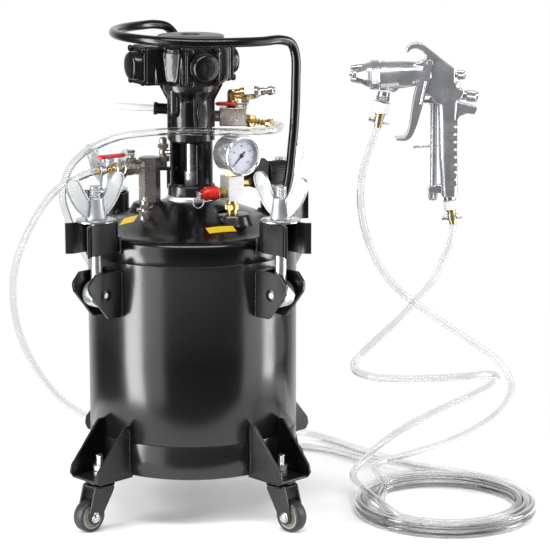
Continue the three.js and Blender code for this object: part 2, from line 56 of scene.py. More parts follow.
BODY_R = 125
SKIRT_BOTTOM = 64
SEAM_Z = 103.2
RIM_Z = 322
LID_R = 128
LID_BOTTOM = 317.3
NECK_Z = 375
CLAMP_R = 150
PIN_Z = 283
CLIP_LOW, CLIP_HIGH = 331, 367
CLIP_GAP, CLIP_THICK = 13, 4
WASHER_Z, WASHER_THICK = 367.8, 3.2
BOLT_R = 6.9
STEM_R, TRAIL, WHEEL_R = 151, 17, 19
MOTOR_Z, MOTOR_TURN, MOTOR_SHIFT = 513.2, 27.6, -10
HANDLE_R = 5.5
MANIFOLD, MANIFOLD_TURN, GAUGE_TURN, GAUGE_Z = (49, -45), 31, 34, 437
RISER = (-50, 0)
HOSE_R, HOSE_BORE = 4.5, 3.1
COIL = (303.5, -40)
COIL_OUTER, COIL_STEP = 110, 9.1
GUN = (268, 0, 523.5)


def turned_frame(turn, x=0, y=0, z=0):
    """The pot's frame shifted to a place and turned about Z, in degrees."""
    return POT @ Matrix.Translation((x, y, z)) @ Matrix.Rotation(math.radians(turn), 4, "Z")


MANIFOLD_FRAME = turned_frame(MANIFOLD_TURN, *MANIFOLD)
GAUGE_FRAME = turned_frame(GAUGE_TURN, *MANIFOLD)
GUN_FRAME = turned_frame(0, *GUN)

# ---- camera, floor and light ----
FLOOR_HALF_WIDTH, FLOOR_HALF_DEPTH, FLOOR_CORNER = 0.47, 0.26, 0.2
CAMERA_PLACE = (0, -2.586, 0.832)
CAMERA_PITCH = 12
LENS, SENSOR = 144, 36
ROOM_DIM, ROOM_BACK, ROOM_TOP, ROOM_LIGHT = 0.1, 1.0, 0.15, 0.7


def aim(obj, place, target):
    obj.location = place
    obj.rotation_euler = (Vector(target) - Vector(place)).to_track_quat("-Z", "Y").to_euler()


def add_camera():
    data = bpy.data.cameras.new("camera")
    data.lens = LENS
    data.sensor_width = SENSOR
    camera = bpy.data.objects.new("camera", data)
    bpy.context.collection.objects.link(camera)
    camera.location = CAMERA_PLACE
    camera.rotation_euler = (math.radians(90 - CAMERA_PITCH), 0, 0)
    bpy.context.scene.camera = camera


def softbox(name, azimuth, elevation, distance, width, height, power, target=(0, 0, 0.3)):
    """A rectangular lamp facing the target; azimuth 0 is in front (-Y), 90 on the right."""
    data = bpy.data.lights.new(name, "AREA")
    data.shape = "RECTANGLE"
    data.size, data.size_y, data.energy = width, height, power
    lamp = bpy.data.objects.new(name, data)
    bpy.context.collection.objects.link(lamp)
    turn, lift = math.radians(azimuth), math.radians(elevation)
    flat = distance * math.cos(lift)
    place = Vector(target) + Vector((flat * math.sin(turn), -flat * math.cos(turn),
                                     distance * math.sin(lift)))
    aim(lamp, place, target)
    return lamp


def add_world():
    """White to the camera, weaker to matt surfaces, and to glossy ones a dim room that is
    brighter behind the object and overhead."""
    world = bpy.data.worlds.new("studio")
    bpy.context.scene.world = world
    world.use_nodes = True
    tree = world.node_tree
    tree.nodes.clear()
    output = tree.nodes.new("ShaderNodeOutputWorld")
    path = tree.nodes.new("ShaderNodeLightPath")
    place = tree.nodes.new("ShaderNodeTexCoord")
    split = tree.nodes.new("ShaderNodeSeparateXYZ")
    tree.links.new(place.outputs["Generated"], split.inputs[0])
    back = tree.nodes.new("ShaderNodeMapRange")
    back.interpolation_type = "SMOOTHSTEP"
    for socket, value in zip(back.inputs[1:5], (0.55, 0.95, ROOM_DIM, ROOM_BACK)):
        socket.default_value = value
    tree.links.new(split.outputs["Y"], back.inputs[0])
    above = tree.nodes.new("ShaderNodeMapRange")
    above.interpolation_type = "SMOOTHSTEP"
    for socket, value in zip(above.inputs[1:5], (0.2, 0.9, 0, ROOM_TOP)):
        socket.default_value = value
    tree.links.new(split.outputs["Z"], above.inputs[0])
    room = tree.nodes.new("ShaderNodeMath")
    tree.links.new(back.outputs[0], room.inputs[0])
    tree.links.new(above.outputs[0], room.inputs[1])
    gloss = tree.nodes.new("ShaderNodeBackground")
    tree.links.new(room.outputs[0], gloss.inputs["Strength"])
    plain = tree.nodes.new("ShaderNodeBackground")
    lit = tree.nodes.new("ShaderNodeMapRange")
    for socket, value in zip(lit.inputs[1:5], (0, 1, 1, ROOM_LIGHT)):
        socket.default_value = value
    tree.links.new(path.outputs["Is Diffuse Ray"], lit.inputs[0])
    tree.links.new(lit.outputs[0], plain.inputs["Strength"])
    mix = tree.nodes.new("ShaderNodeMixShader")
    bounced = tree.nodes.new("ShaderNodeMath")
    bounced.operation = "SUBTRACT"
    bounced.use_clamp = True
    tree.links.new(path.outputs["Is Glossy Ray"], bounced.inputs[0])
    tree.links.new(path.outputs["Is Transmission Ray"], bounced.inputs[1])
    tree.links.new(bounced.outputs[0], mix.inputs[0])
    tree.links.new(plain.outputs[0], mix.inputs[1])
    tree.links.new(gloss.outputs[0], mix.inputs[2])
    for background in (gloss, plain):
        background.inputs["Color"].default_value = (1, 1, 1, 1)
    tree.links.new(mix.outputs[0], output.inputs[0])


def add_floor():
    """A plain pale table top, little wider than the object, so that the lamps shine past it."""
    wide, deep = FLOOR_HALF_WIDTH, FLOOR_HALF_DEPTH
    corners = [(-wide, -deep), (wide, -deep), (wide, deep), (-wide, deep)]
    outline = rounded(corners, FLOOR_CORNER, 12)
    mesh = bpy.data.meshes.new("floor")
    mesh.from_pydata([(x, y, 0) for x, y in outline], [], [list(range(len(outline)))])
    mesh.materials.append(MATERIALS["floor"])
    table = bpy.data.objects.new("floor", mesh)
    bpy.context.collection.objects.link(table)


def add_studio():
    add_camera()
    add_floor()
    add_world()
    scene = bpy.context.scene
    scene.view_settings.view_transform = "Standard"
    softbox("key_left", -65, 0, 1.7, 0.6, 2.2, 62)
    softbox("fill_left", -42, 0, 1.7, 0.6, 2.2, 9)
    softbox("key_right", 92, 0, 1.7, 0.5, 2.2, 42)
    softbox("fill_right", 68, 0, 1.7, 0.7, 2.2, 12)
    softbox("front_top", 0, 58, 1.8, 1.8, 0.3, 24)


# ---- materials ----
TONE_SHARE = 0.6
WEAR_START, WEAR_END = 0.53, 0.62


def ramp_between(tree, source, low, high, start=0.3, end=0.7):
    node = tree.nodes.new("ShaderNodeMapRange")
    for socket, value in zip(node.inputs[1:5], (start, end, low, high)):
        socket.default_value = value
    tree.links.new(source, node.inputs[0])
    return node.outputs[0]


def material(name, color, roughness, metallic=0.0, vary=0.15, scale=60, grain=0.0, grain_scale=900,
             wear=0.0, wear_color=(0.3, 0.3, 0.3), stretch=(1, 1, 1), **shader_values):
    """A surface whose tone and roughness drift by `vary`, with `grain` millimetres of fine
    bump, and edges that turn towards wear_color by `wear`."""
    made = bpy.data.materials.new(name)
    made.use_nodes = True
    made.diffuse_color = (*color, 1)
    tree = made.node_tree
    shader = tree.nodes["Principled BSDF"]
    shader.inputs["Metallic"].default_value = metallic
    for key, value in shader_values.items():
        shader.inputs[key.replace("_", " ")].default_value = value
    place = tree.nodes.new("ShaderNodeTexCoord")
    mapping = tree.nodes.new("ShaderNodeMapping")
    mapping.inputs["Scale"].default_value = stretch
    tree.links.new(place.outputs["Object"], mapping.inputs[0])
    cloud = tree.nodes.new("ShaderNodeTexNoise")
    cloud.inputs["Scale"].default_value = scale
    cloud.inputs["Detail"].default_value = 5
    tree.links.new(mapping.outputs[0], cloud.inputs["Vector"])
    rough = ramp_between(tree, cloud.outputs["Fac"], roughness * (1 - vary), roughness * (1 + vary))
    tree.links.new(rough, shader.inputs["Roughness"])
    tone = tree.nodes.new("ShaderNodeMix")
    tone.data_type = "RGBA"
    tone.inputs[6].default_value = (*[c * (1 - vary * TONE_SHARE) for c in color], 1)
    tone.inputs[7].default_value = (*[min(1, c * (1 + vary * TONE_SHARE)) for c in color], 1)
    tree.links.new(cloud.outputs["Fac"], tone.inputs[0])
    base = tone.outputs[2]
    if wear:
        geometry = tree.nodes.new("ShaderNodeNewGeometry")
        edge = ramp_between(tree, geometry.outputs["Pointiness"], 0, wear, WEAR_START, WEAR_END)
        worn = tree.nodes.new("ShaderNodeMix")
        worn.data_type = "RGBA"
        worn.inputs[7].default_value = (*wear_color, 1)
        tree.links.new(edge, worn.inputs[0])
        tree.links.new(base, worn.inputs[6])
        base = worn.outputs[2]
    tree.links.new(base, shader.inputs["Base Color"])
    if grain:
        fine = tree.nodes.new("ShaderNodeTexNoise")
        fine.inputs["Scale"].default_value = grain_scale
        fine.inputs["Detail"].default_value = 2
        tree.links.new(mapping.outputs[0], fine.inputs["Vector"])
        bump = tree.nodes.new("ShaderNodeBump")
        bump.inputs["Distance"].default_value = grain * MM
        tree.links.new(fine.outputs["Fac"], bump.inputs["Height"])
        tree.links.new(bump.outputs[0], shader.inputs["Normal"])
    return made


def make_materials():
    paint_wear = dict(wear=0.25, wear_color=(0.09, 0.09, 0.09))
    return {
        "paint": material("black_enamel", (0.001, 0.0011, 0.0014), 0.21, vary=0.12, scale=14,
                          grain=0.02, grain_scale=420, **paint_wear),
        "satin": material("black_powder_coat", (0.0018, 0.0018, 0.002), 0.3, vary=0.2, scale=30,
                          grain=0.05, grain_scale=700, wear=0.5, wear_color=(0.12, 0.12, 0.12),
                          Specular_IOR_Level=0.4),
        "cast": material("black_casting", (0.0015, 0.0015, 0.0017), 0.2, vary=0.3, scale=55,
                         grain=0.3, grain_scale=160, **paint_wear),
        "plastic": material("black_plastic", (0.002, 0.002, 0.002), 0.3, vary=0.15, grain=0.03),
        "zinc": material("zinc_plate", (0.52, 0.54, 0.56), 0.3, 0.9, vary=0.3, scale=80, grain=0.03),
        "wing": material("zinc_wing", (0.4, 0.415, 0.42), 0.42, 0.8, vary=0.35, scale=45, grain=0.12,
                         grain_scale=260),
        "steel": material("bright_steel", (0.5, 0.51, 0.53), 0.24, 0.93, vary=0.3, scale=90),
        "nickel": material("nickel_plate", (0.5, 0.46, 0.41), 0.26, 0.92, vary=0.3, scale=70,
                           grain=0.02),
        "aluminium": material("machined_aluminium", (0.52, 0.53, 0.54), 0.34, 0.8, vary=0.2, scale=40,
                              grain=0.04, grain_scale=500, stretch=(1, 1, 6)),
        "polished": material("polished_casting", (0.52, 0.53, 0.55), 0.25, 0.84, vary=0.35, scale=50,
                             grain=0.12, grain_scale=180),
        "brass": material("brass", (0.62, 0.45, 0.19), 0.24, 0.92, vary=0.3, scale=80, grain=0.02),
        "chrome": material("chrome", (0.7, 0.71, 0.73), 0.12, 0.86, vary=0.4, scale=30),
        "red": material("red_dip", (0.42, 0.008, 0.01), 0.22, vary=0.2, scale=90, grain=0.06,
                        grain_scale=260, Coat_Weight=0.5, Coat_Roughness=0.08),
        "anodised": material("red_anodised", (0.6, 0.03, 0.02), 0.28, 0.6, vary=0.2, scale=90),
        "tread": material("tread_rubber", (0.012, 0.012, 0.013), 0.5, vary=0.25, scale=70,
                          grain=0.08),
        "wheel": material("wheel_core", (0.24, 0.225, 0.2), 0.4, vary=0.12, scale=60, grain=0.03),
        "dial": material("dial_enamel", (0.33, 0.34, 0.41), 0.35, vary=0.03, scale=20,
                         Coat_Weight=1.0, Coat_Roughness=0.05),
        "ink": material("dial_ink", (0.006, 0.006, 0.007), 0.4, vary=0.05),
        "label": material("yellow_label", (0.48, 0.33, 0.004), 0.35, vary=0.05, scale=40, grain=0.02),
        "gasket": material("gasket_rubber", (0.2, 0.185, 0.15), 0.7, vary=0.15, grain=0.05),
        "seal": material("red_seal", (0.12, 0.02, 0.014), 0.45, vary=0.15),
        "floor": material("pale_floor", (0.93, 0.93, 0.93), 0.8, vary=0.01, scale=3,
                          Specular_IOR_Level=0.1),
        "tube": material("clear_vinyl", (0.95, 0.955, 0.95), 0.02, vary=0.3, scale=30,
                         Transmission_Weight=1.0, IOR=1.33),
        "milky": material("milky_tube", (0.75, 0.78, 0.76), 0.3, vary=0.1, scale=40,
                          Transmission_Weight=0.5, IOR=1.4),
        "rusty": material("blasted_riser", (0.3, 0.275, 0.25), 0.34, 0.85, vary=0.5, scale=600,
                          grain=0.2, grain_scale=700),
    }


MATERIALS = make_materials()

# ---- solids: each is (points, faces) in millimetres ----


def merged(*solids):
    points, faces = [], []
    for some_points, some_faces in solids:
        shift = len(points)
        points += [Vector(p) for p in some_points]
        faces += [[i + shift for i in face] for face in some_faces]
    return points, faces


def moved(solid, matrix):
    return [matrix @ Vector(p) for p in solid[0]], solid[1]


def shifted(solid, x, y, z):
    return moved(solid, Matrix.Translation((x, y, z)))


def spun(solid, degrees, axis="Z"):
    return moved(solid, Matrix.Rotation(math.radians(degrees), 4, axis))


def lathe(profile, sides=48):
    """Turns [radius, height] points, from bottom to top, about Z. Ends off the axis are
    joined to each other if the profile closes on itself, and else are capped."""
    closed = tuple(profile[0]) == tuple(profile[-1])
    rows = profile[:-1] if closed else profile
    points, rings = [], []
    for radius, height in rows:
        if radius < 1e-6:
            rings.append([len(points)] * sides)
            points.append(Vector((0, 0, height)))
            continue
        rings.append(list(range(len(points), len(points) + sides)))
        for k in range(sides):
            turn = 2 * math.pi * k / sides
            points.append(Vector((radius * math.cos(turn), radius * math.sin(turn), height)))
    faces = []
    pairs = list(zip(rings, rings[1:]))
    if closed:
        pairs.append((rings[-1], rings[0]))
    for low, high in pairs:
        for k in range(sides):
            n = (k + 1) % sides
            face = list(dict.fromkeys([low[k], low[n], high[n], high[k]]))
            if len(face) > 2:
                faces.append(face)
    if not closed:
        if rows[0][0] > 1e-6:
            faces.append(rings[0][::-1])
        if rows[-1][0] > 1e-6:
            faces.append(rings[-1])
    return points, faces


def hollow(inner, outer, low, high, sides=48):
    return lathe([[inner, low], [outer, low], [outer, high], [inner, high], [inner, low]], sides)


def prism(outline, low, high):
    """Fills an outline given in X and Y, anticlockwise, between two heights."""
    count = len(outline)
    points = [Vector((x, y, low)) for x, y in outline] + [Vector((x, y, high)) for x, y in outline]
    faces = [list(range(count))[::-1], list(range(count, 2 * count))]
    faces += [[k, (k + 1) % count, count + (k + 1) % count, count + k] for k in range(count)]
    return points, faces


def slab(outline, low, high):
    """Fills an outline given in X and Z between two values of Y."""
    return moved(prism(outline, -high, -low), Matrix.Rotation(math.pi / 2, 4, "X"))


def block(x, y, z):
    return prism([(x[0], y[0]), (x[1], y[0]), (x[1], y[1]), (x[0], y[1])], *z)


def rounded(outline, radius, steps=6):
    """The outline with each corner turned into an arc of that radius, or of its own radius
    where a corner is given as (x, y, radius)."""
    result = []
    count = len(outline)
    for k in range(count):
        here = Vector(outline[k][:2])
        own = outline[k][2] if len(outline[k]) > 2 else radius
        before = (Vector(outline[k - 1][:2]) - here)
        after = (Vector(outline[(k + 1) % count][:2]) - here)
        half = before.angle(after) / 2
        reach = min(own / max(math.tan(half), 1e-3), before.length * 0.48, after.length * 0.48)
        if own <= 0 or half > math.radians(88):
            result.append(tuple(here))
            continue
        start, end = here + before.normalized() * reach, here + after.normalized() * reach
        for step in range(steps + 1):
            t = step / steps
            result.append(tuple(start.lerp(here, t).lerp(here.lerp(end, t), t)))
    return result


def along(start, toward, stations, sides=32):
    """Pieces turned about the line from start towards a point: stations of [distance, radius]."""
    axis = Vector(toward) - Vector(start)
    turn = axis.to_track_quat("Z", "Y").to_matrix().to_4x4()
    solid = lathe([[radius, distance] for distance, radius in stations], sides)
    return moved(solid, Matrix.Translation(start) @ turn)


def rod(start, end, radius, end_radius=None, sides=32):
    length = (Vector(end) - Vector(start)).length
    return along(start, end, [[0, radius], [length, end_radius or radius]], sides)


def hex_along(start, end, across, chamfer=1.0):
    """A hexagon bar with chamfered ends; `across` is its size over the flats."""
    length = (Vector(end) - Vector(start)).length
    radius = across / math.sqrt(3)
    small = radius - chamfer
    stations = [[0, small], [chamfer * 0.6, radius], [length - chamfer * 0.6, radius], [length, small]]
    return along(start, end, stations, 6)


def threaded(radius, low, high, pitch=2.0, depth=1.0, sides=28):
    """A threaded rod along Z with a true helix."""
    steps = 6
    rows = int((high - low) / pitch * steps)
    points = []
    for row in range(rows + 1):
        height = low + (high - low) * row / rows
        fade = min(1, (high - height) / pitch, (height - low) / pitch + 0.3)
        for k in range(sides):
            phase = (height / pitch - k / sides) % 1
            cut = depth * fade * abs(2 * phase - 1)
            across = radius - cut - (0.8 * depth if row == rows else 0)
            turn = 2 * math.pi * k / sides
            points.append(Vector((across * math.cos(turn), across * math.sin(turn), height)))
    faces = [list(range(sides))[::-1], list(range(rows * sides, (rows + 1) * sides))]
    for row in range(rows):
        for k in range(sides):
            n = (k + 1) % sides
            faces.append([row * sides + k, row * sides + n, (row + 1) * sides + n, (row + 1) * sides + k])
    return points, faces


def smooth_path(route, step=4.0):
    """Points about `step` apart on a centripetal Catmull-Rom curve through the route."""
    knots = [Vector(p) for p in route]
    knots = [knots[0] * 2 - knots[1]] + knots + [knots[-1] * 2 - knots[-2]]
    path = []
    for a, b, c, d in zip(knots, knots[1:], knots[2:], knots[3:]):
        times = [0.0]
        for p, q in ((a, b), (b, c), (c, d)):
            times.append(times[-1] + max((q - p).length, 1e-6) ** 0.5)
        count = max(1, round((c - b).length / step))
        for k in range(count):
            t = times[1] + (times[2] - times[1]) * k / count
            level = [a, b, c, d]
            for depth in (1, 2, 3):
                level = [
                    level[i].lerp(level[i + 1], (t - t0) / (t1 - t0))
                    for i, (t0, t1) in enumerate(spans(times, depth))]
            path.append(level[0])
    return path + [Vector(route[-1])]


def spans(times, depth):
    """The knot spans that one round of the Catmull-Rom pyramid blends over."""
    if depth == 1:
        return list(zip(times, times[1:]))
    if depth == 2:
        return list(zip(times, times[2:]))
    return [(times[1], times[2])]


def swept(path, radii, sides=16):
    """A tube along a path, with one radius or one for each point. With two radii in a
    tuple it is hollow: (outer, inner)."""
    pair = radii if isinstance(radii, tuple) else (radii,)
    frames = transport(path)
    points, faces, shells = [], [], []
    for radius in pair:
        shell = []
        for k, (centre, side, up) in enumerate(frames):
            own = radius[k] if isinstance(radius, list) else radius
            shell.append(len(points))
            for n in range(sides):
                turn = 2 * math.pi * n / sides
                points.append(centre + (side * math.cos(turn) + up * math.sin(turn)) * own)
        shells.append(shell)
    for order, shell in enumerate(shells):
        for low, high in zip(shell, shell[1:]):
            for n in range(sides):
                m = (n + 1) % sides
                face = [low + n, low + m, high + m, high + n]
                faces.append(face if order == 0 else face[::-1])
    if len(pair) == 2:
        for end, flip in ((0, False), (-1, True)):
            outer, inner = shells[0][end], shells[1][end]
            for n in range(sides):
                m = (n + 1) % sides
                face = [outer + m, outer + n, inner + n, inner + m]
                faces.append(face[::-1] if flip else face)
    else:
        faces.append([shells[0][0] + n for n in range(sides)][::-1])
        faces.append([shells[0][-1] + n for n in range(sides)])
    return points, faces


def transport(path):
    """A centre, side and up vector at each point of a path, turning as little as possible."""
    frames = []
    up = Vector((0, 0, 1))
    for k, centre in enumerate(path):
        ahead = path[min(k + 1, len(path) - 1)] - path[max(k - 1, 0)]
        ahead.normalize()
        if k == 0 and abs(ahead.z) > 0.9:
            up = Vector((0, 1, 0))
        side = ahead.cross(up).normalized()
        up = side.cross(ahead).normalized()
        frames.append((Vector(centre), side, up))
    return frames


def curve_outline(points, count=4):
    """A smooth closed outline through the points."""
    total = len(points)
    knots = [Vector((*p, 0)) for p in points]
    result = []
    for k in range(total):
        a, b, c, d = (knots[(k + i - 1) % total] for i in range(4))
        for step in range(count):
            t = step / count
            place = 0.5 * ((2 * b) + (c - a) * t + (2 * a - 5 * b + 4 * c - d) * t * t
                           + (3 * b - a - 3 * c + d) * t ** 3)
            result.append((place.x, place.y))
    return result


def shrunk(outline, amount):
    """The anticlockwise outline moved inwards by an amount."""
    count = len(outline)
    result = []
    for k in range(count):
        ahead = Vector(outline[(k + 1) % count]) - Vector(outline[k - 1])
        ahead.normalize()
        result.append((outline[k][0] - ahead.y * amount, outline[k][1] + ahead.x * amount))
    return result


def panel(outline, half, rim, depth):
    """A plate in X and Z, centred on Y, with both faces sunk inside a rim."""
    inner = shrunk(outline, rim)
    count = len(outline)
    points, faces = [], []
    for face_y, side in ((-half, -1), (half, 1)):
        start = len(points)
        points += [Vector((x, face_y, z)) for x, z in outline]
        points += [Vector((x, face_y, z)) for x, z in inner]
        points += [Vector((x, face_y - side * depth, z)) for x, z in inner]
        loops = [start, start + count, start + 2 * count]
        rows = []
        for low, high in zip(loops, loops[1:]):
            rows += [[low + k, low + (k + 1) % count, high + (k + 1) % count, high + k]
                     for k in range(count)]
        rows.append([loops[2] + k for k in range(count)])
        faces += rows if side < 0 else [row[::-1] for row in rows]
    back = 3 * count
    faces += [[k, back + k, back + (k + 1) % count, (k + 1) % count] for k in range(count)]
    return points, faces


# ---- making a piece ----
SHARP = math.radians(38)


def piece(name, solid, place, finish, body, replaces=(), bevel=0.0, segments=2, flat_ok=True):
    """Makes an object from a solid, rounds its hard edges by `bevel` millimetres, sets
    what it rides on and its finish, and hides the CAD nodes it stands for."""
    mesh = bpy.data.meshes.new(name)
    work = bmesh.new()
    points, faces = solid
    corners = [work.verts.new(p) for p in points]
    for face in faces:
        try:
            work.faces.new([corners[i] for i in face])
        except ValueError:
            continue
    bmesh.ops.remove_doubles(work, verts=work.verts, dist=1e-4)
    bmesh.ops.dissolve_degenerate(work, dist=1e-5, edges=work.edges)
    bmesh.ops.recalc_face_normals(work, faces=work.faces)
    if bevel:
        hard = [e for e in work.edges if len(e.link_faces) == 2 and e.calc_face_angle(0) > SHARP]
        bmesh.ops.bevel(work, geom=hard, offset=bevel, segments=segments, profile=0.6,
                        affect="EDGES", clamp_overlap=True)
    bmesh.ops.transform(work, matrix=place, verts=work.verts)
    for face in work.faces:
        face.smooth = True
    for edge in work.edges:
        edge.smooth = not (len(edge.link_faces) == 2 and edge.calc_face_angle(0) > SHARP)
    work.to_mesh(mesh)
    work.free()
    obj = bpy.data.objects.new(name, mesh)
    bpy.context.collection.objects.link(obj)
    mesh.materials.append(MATERIALS[finish])
    if bevel and flat_ok:
        normals = obj.modifiers.new("even_normals", "WEIGHTED_NORMAL")
        normals.keep_sharp = True
    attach(obj, body)
    if replaces:
        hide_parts(*replaces)
    return obj


def settled(obj):
    """Turns the object's modifiers into its mesh."""
    graph = bpy.context.evaluated_depsgraph_get()
    mesh = bpy.data.meshes.new_from_object(obj.evaluated_get(graph))
    obj.modifiers.clear()
    old = obj.data
    obj.data = mesh
    bpy.data.meshes.remove(old)
    return obj


def cast_together(obj, voxel, relax=4):
    """Melts the object's overlapping shells into one skin with soft inner corners."""
    obj.modifiers.clear()
    remesh = obj.modifiers.new("remesh", "REMESH")
    remesh.mode = "VOXEL"
    remesh.voxel_size = voxel * MM
    remesh.use_smooth_shade = True
    smooth = obj.modifiers.new("relax", "SMOOTH")
    smooth.factor = 0.5
    smooth.iterations = relax
    return settled(obj)


def carve(obj, solid, place):
    """Cuts a solid out of an object."""
    cutter = piece("cutter", solid, place, "paint", "pot")
    cut = obj.modifiers.new("cut", "BOOLEAN")
    cut.operation = "DIFFERENCE"
    cut.solver = "EXACT"
    cut.object = cutter
    settled(obj)
    bpy.data.objects.remove(cutter)
    return obj


def lumps(path, radius, seed):
    """A weld bead: overlapping uneven beads along a path."""
    draw = random.Random(seed)
    beads = []
    for place in path:
        size = radius * draw.uniform(0.8, 1.15)
        profile = [[size * math.sin(math.pi * k / 8), -size * math.cos(math.pi * k / 8)] for k in range(9)]
        tilt = Matrix.Rotation(draw.uniform(-0.5, 0.5), 4, "X")
        offset = Vector([draw.uniform(-0.25, 0.25) for _ in range(3)])
        beads.append(moved(lathe(profile, 14), Matrix.Translation(Vector(place) + offset) @ tilt))
    return merged(*beads)


# ---- hoses ----
AIR_POT_ROUTE = [[92.6, -1.5, 466], [103, -15, 466], [106, -31, 466], [101, -49, 466],
                 [87, -62, 466], [66, -68, 465.5], [40, -66, 465.5], [10, -60, 465], [-20, -53, 464],
                 [-55, -42, 460], [-86, -29, 453], [-110, -15, 442], [-133, 4, 426], [-147, 18, 408],
                 [-155, 29, 387], [-157, 36, 367], [-153, 43, 348], [-146, 50, 326], [-137, 58, 304],
                 [-127, 66, 281], [-120, 80, 245], [-112, 100, 205], [-96, 130, 150], [-72, 160, 95],
                 [-40, 190, 48], [-5, 212, 18], [40, 226, 5.5], [85, 228, 4.8], [131, 218, 4.8],
                 [171, 199, 4.8], [196, 176, 5], [222, 148, 7], [247, 122, 12]]
FLUID_POT_ROUTE = [[-108.6, -42.5, 416], [-117, -47.5, 414], [-129, -48, 409], [-145, -41, 401],
                   [-163, -27, 386], [-182, -8, 360], [-202, 12, 323], [-215, 28, 289],
                   [-221, 42, 255], [-220, 58, 213], [-213, 74, 178], [-200, 97, 140],
                   [-182, 125, 103], [-160, 155, 73], [-134, 186, 48], [-102, 217, 28],
                   [-66, 244, 14], [-25, 268, 6], [20, 285, 4.8], [60, 293, 4.8], [98, 294, 4.8],
                   [135, 282, 4.8], [172, 251, 4.8], [198, 219, 4.8], [223, 190, 4.8],
                   [250, 160, 4.8], [276, 133, 4.8], [310, 102, 4.8]]
FLUID_GUN_ROUTE = [[220.9, 0, 460.6], [216.5, 0, 448], [210, 0, 430], [203, 0, 404], [201, 0, 374],
                   [205, 0, 344], [215, 0, 313], [230, 0, 285], [249, 5, 262], [270, 12, 244],
                   [299, 20, 222], [331, 30, 198], [363, 42, 174], [386, 56, 148], [394, 70, 123],
                   [388, 84, 99], [372, 94, 78], [348, 100, 60], [318, 104, 44], [285, 102, 33],
                   [252, 90, 27], [226, 66, 25]]
AIR_GUN_ROUTE = [[312.1, 0, 344.6], [311, 0, 335], [308, 0, 319], [301, 0, 301], [289, -3, 277],
                 [269, -5, 253], [250, -5, 231], [228, -3, 209], [207, 0, 188], [194, -10, 175],
                 [198, -30, 170], [218, -48, 168], [246, -58, 169], [282, -60, 170],
                 [318, -57, 171], [349, -44, 170], [366, -18, 161], [363, 14, 143], [345, 37, 125],
                 [315, 50, 107], [284, 57, 89], [255, 57, 72], [229, 49, 55], [208, 32, 40],
                 [195, 6, 31]]
FLOOR_Z = 4.8
FLUID_RISE = [(82, 215, 6.5), (77.5, 195, 11), (75, 176, 17), (75.5, 159, 22.5)]
FLUID_OVER = [[229, 14, 25.3], [223.5, 42, 25.5]]
AIR_RISE = [(86.5, 222, 17), (87, 207, 21.5)]
AIR_OVER = [[207, -34, 26]]
COIL_POINTS = 20                # route points in each turn


def coil_point(radius, azimuth, height):
    turn = math.radians(azimuth)
    return [COIL[0] + radius * math.cos(turn), COIL[1] + radius * math.sin(turn), height]


def coil(start, sweep, height):
    """Clockwise turns that wind inwards from the azimuth `start` through `sweep` degrees."""
    count = round(COIL_POINTS * sweep / 360)
    turns = sweep / 360
    inner = COIL_OUTER - HOSE_R * 2.01 * turns
    return [coil_point(COIL_OUTER + (inner - COIL_OUTER) * k / count, start - sweep * k / count, height)
            for k in range(count + 1)]


def hose(name, route, replaces):
    path = smooth_path(route)
    obj = piece(name, swept(path, (HOSE_R, HOSE_BORE), 16), POT, "tube", "pot", replaces)
    return obj


def add_hoses():
    fluid = (FLUID_POT_ROUTE + coil(50, 915, FLOOR_Z) + [coil_point(*p) for p in FLUID_RISE]
             + FLUID_OVER + FLUID_GUN_ROUTE[::-1])
    air = (AIR_POT_ROUTE + coil(65, 915, FLOOR_Z + COIL_STEP) + [coil_point(*p) for p in AIR_RISE]
           + AIR_OVER + AIR_GUN_ROUTE[::-1])
    hose("fluid_hose", fluid, ("fluid_hose_pot", "fluid_hose_gun", "hose_coil"))
    hose("air_hose", air, ("air_hose_pot", "air_hose_gun"))


# ---- tank and lid ----
def add_tank():
    wall = [[0, 76], [60, 79], [95, 86], [112, 94], [121, SEAM_Z - 1], [122.5, SEAM_Z + 0.1],
            [124.2, SEAM_Z + 0.3], [BODY_R, SEAM_Z + 1.4], [BODY_R, 200], [BODY_R, RIM_Z],
            [116, RIM_Z], [116, 318], [121, 317], [121, 108], [100, 95], [60, 84], [0, 81]]
    piece("tank", lathe(wall, 128), POT, "paint", "pot", ["tank_shell"])
    skirt = [[121.5, SKIRT_BOTTOM], [124.4, SKIRT_BOTTOM], [BODY_R, SKIRT_BOTTOM + 0.8],
             [BODY_R, SEAM_Z - 1.2], [124.3, SEAM_Z - 0.2], [121.5, SEAM_Z - 0.2],
             [121.5, SKIRT_BOTTOM]]
    piece("skirt", lathe(skirt, 128), POT, "paint", "pot", ["base_skirt"])


DOME = [[118, 345.9], [112, 346.9], [104, 349.2], [95, 352.4], [86, 355.9], [74, 360.4],
        [62, 364.5], [48, 369.4], [38, 372.8], [34, 374.6], [33, NECK_Z]]


def dome_height(radius):
    """The height of the lid's surface at a distance from its centre."""
    for (outer, low), (inner, high) in zip(DOME, DOME[1:]):
        if inner <= radius <= outer:
            return low + (high - low) * (outer - radius) / (outer - inner)
    return NECK_Z


def lid_clip():
    """The fork on the lid that a swing bolt drops into."""
    inner, outer = CLIP_GAP, CLIP_GAP + CLIP_THICK
    bend = 139
    turns = [math.pi / 2 + math.pi * k / 16 for k in range(17)]
    arc = [(bend + math.cos(turn) * inner, math.sin(turn) * inner) for turn in turns]
    back = [(bend + outer * math.cos(1.5 * math.pi - math.pi * k / 16),
             outer * math.sin(1.5 * math.pi - math.pi * k / 16)) for k in range(17)]
    shape = [(177.6, outer + 5), (180, inner + 6.5), (176, inner + 2.6), (171, inner + 0.3), *arc,
             (171, -inner - 0.3), (176, -inner - 2.6), (180, -inner - 6.5), (177.6, -outer - 5),
             (174, -outer - 1.6), (170, -outer), *back, (170, outer), (174, outer + 1.6)]
    return prism(shape, CLIP_LOW, CLIP_HIGH)


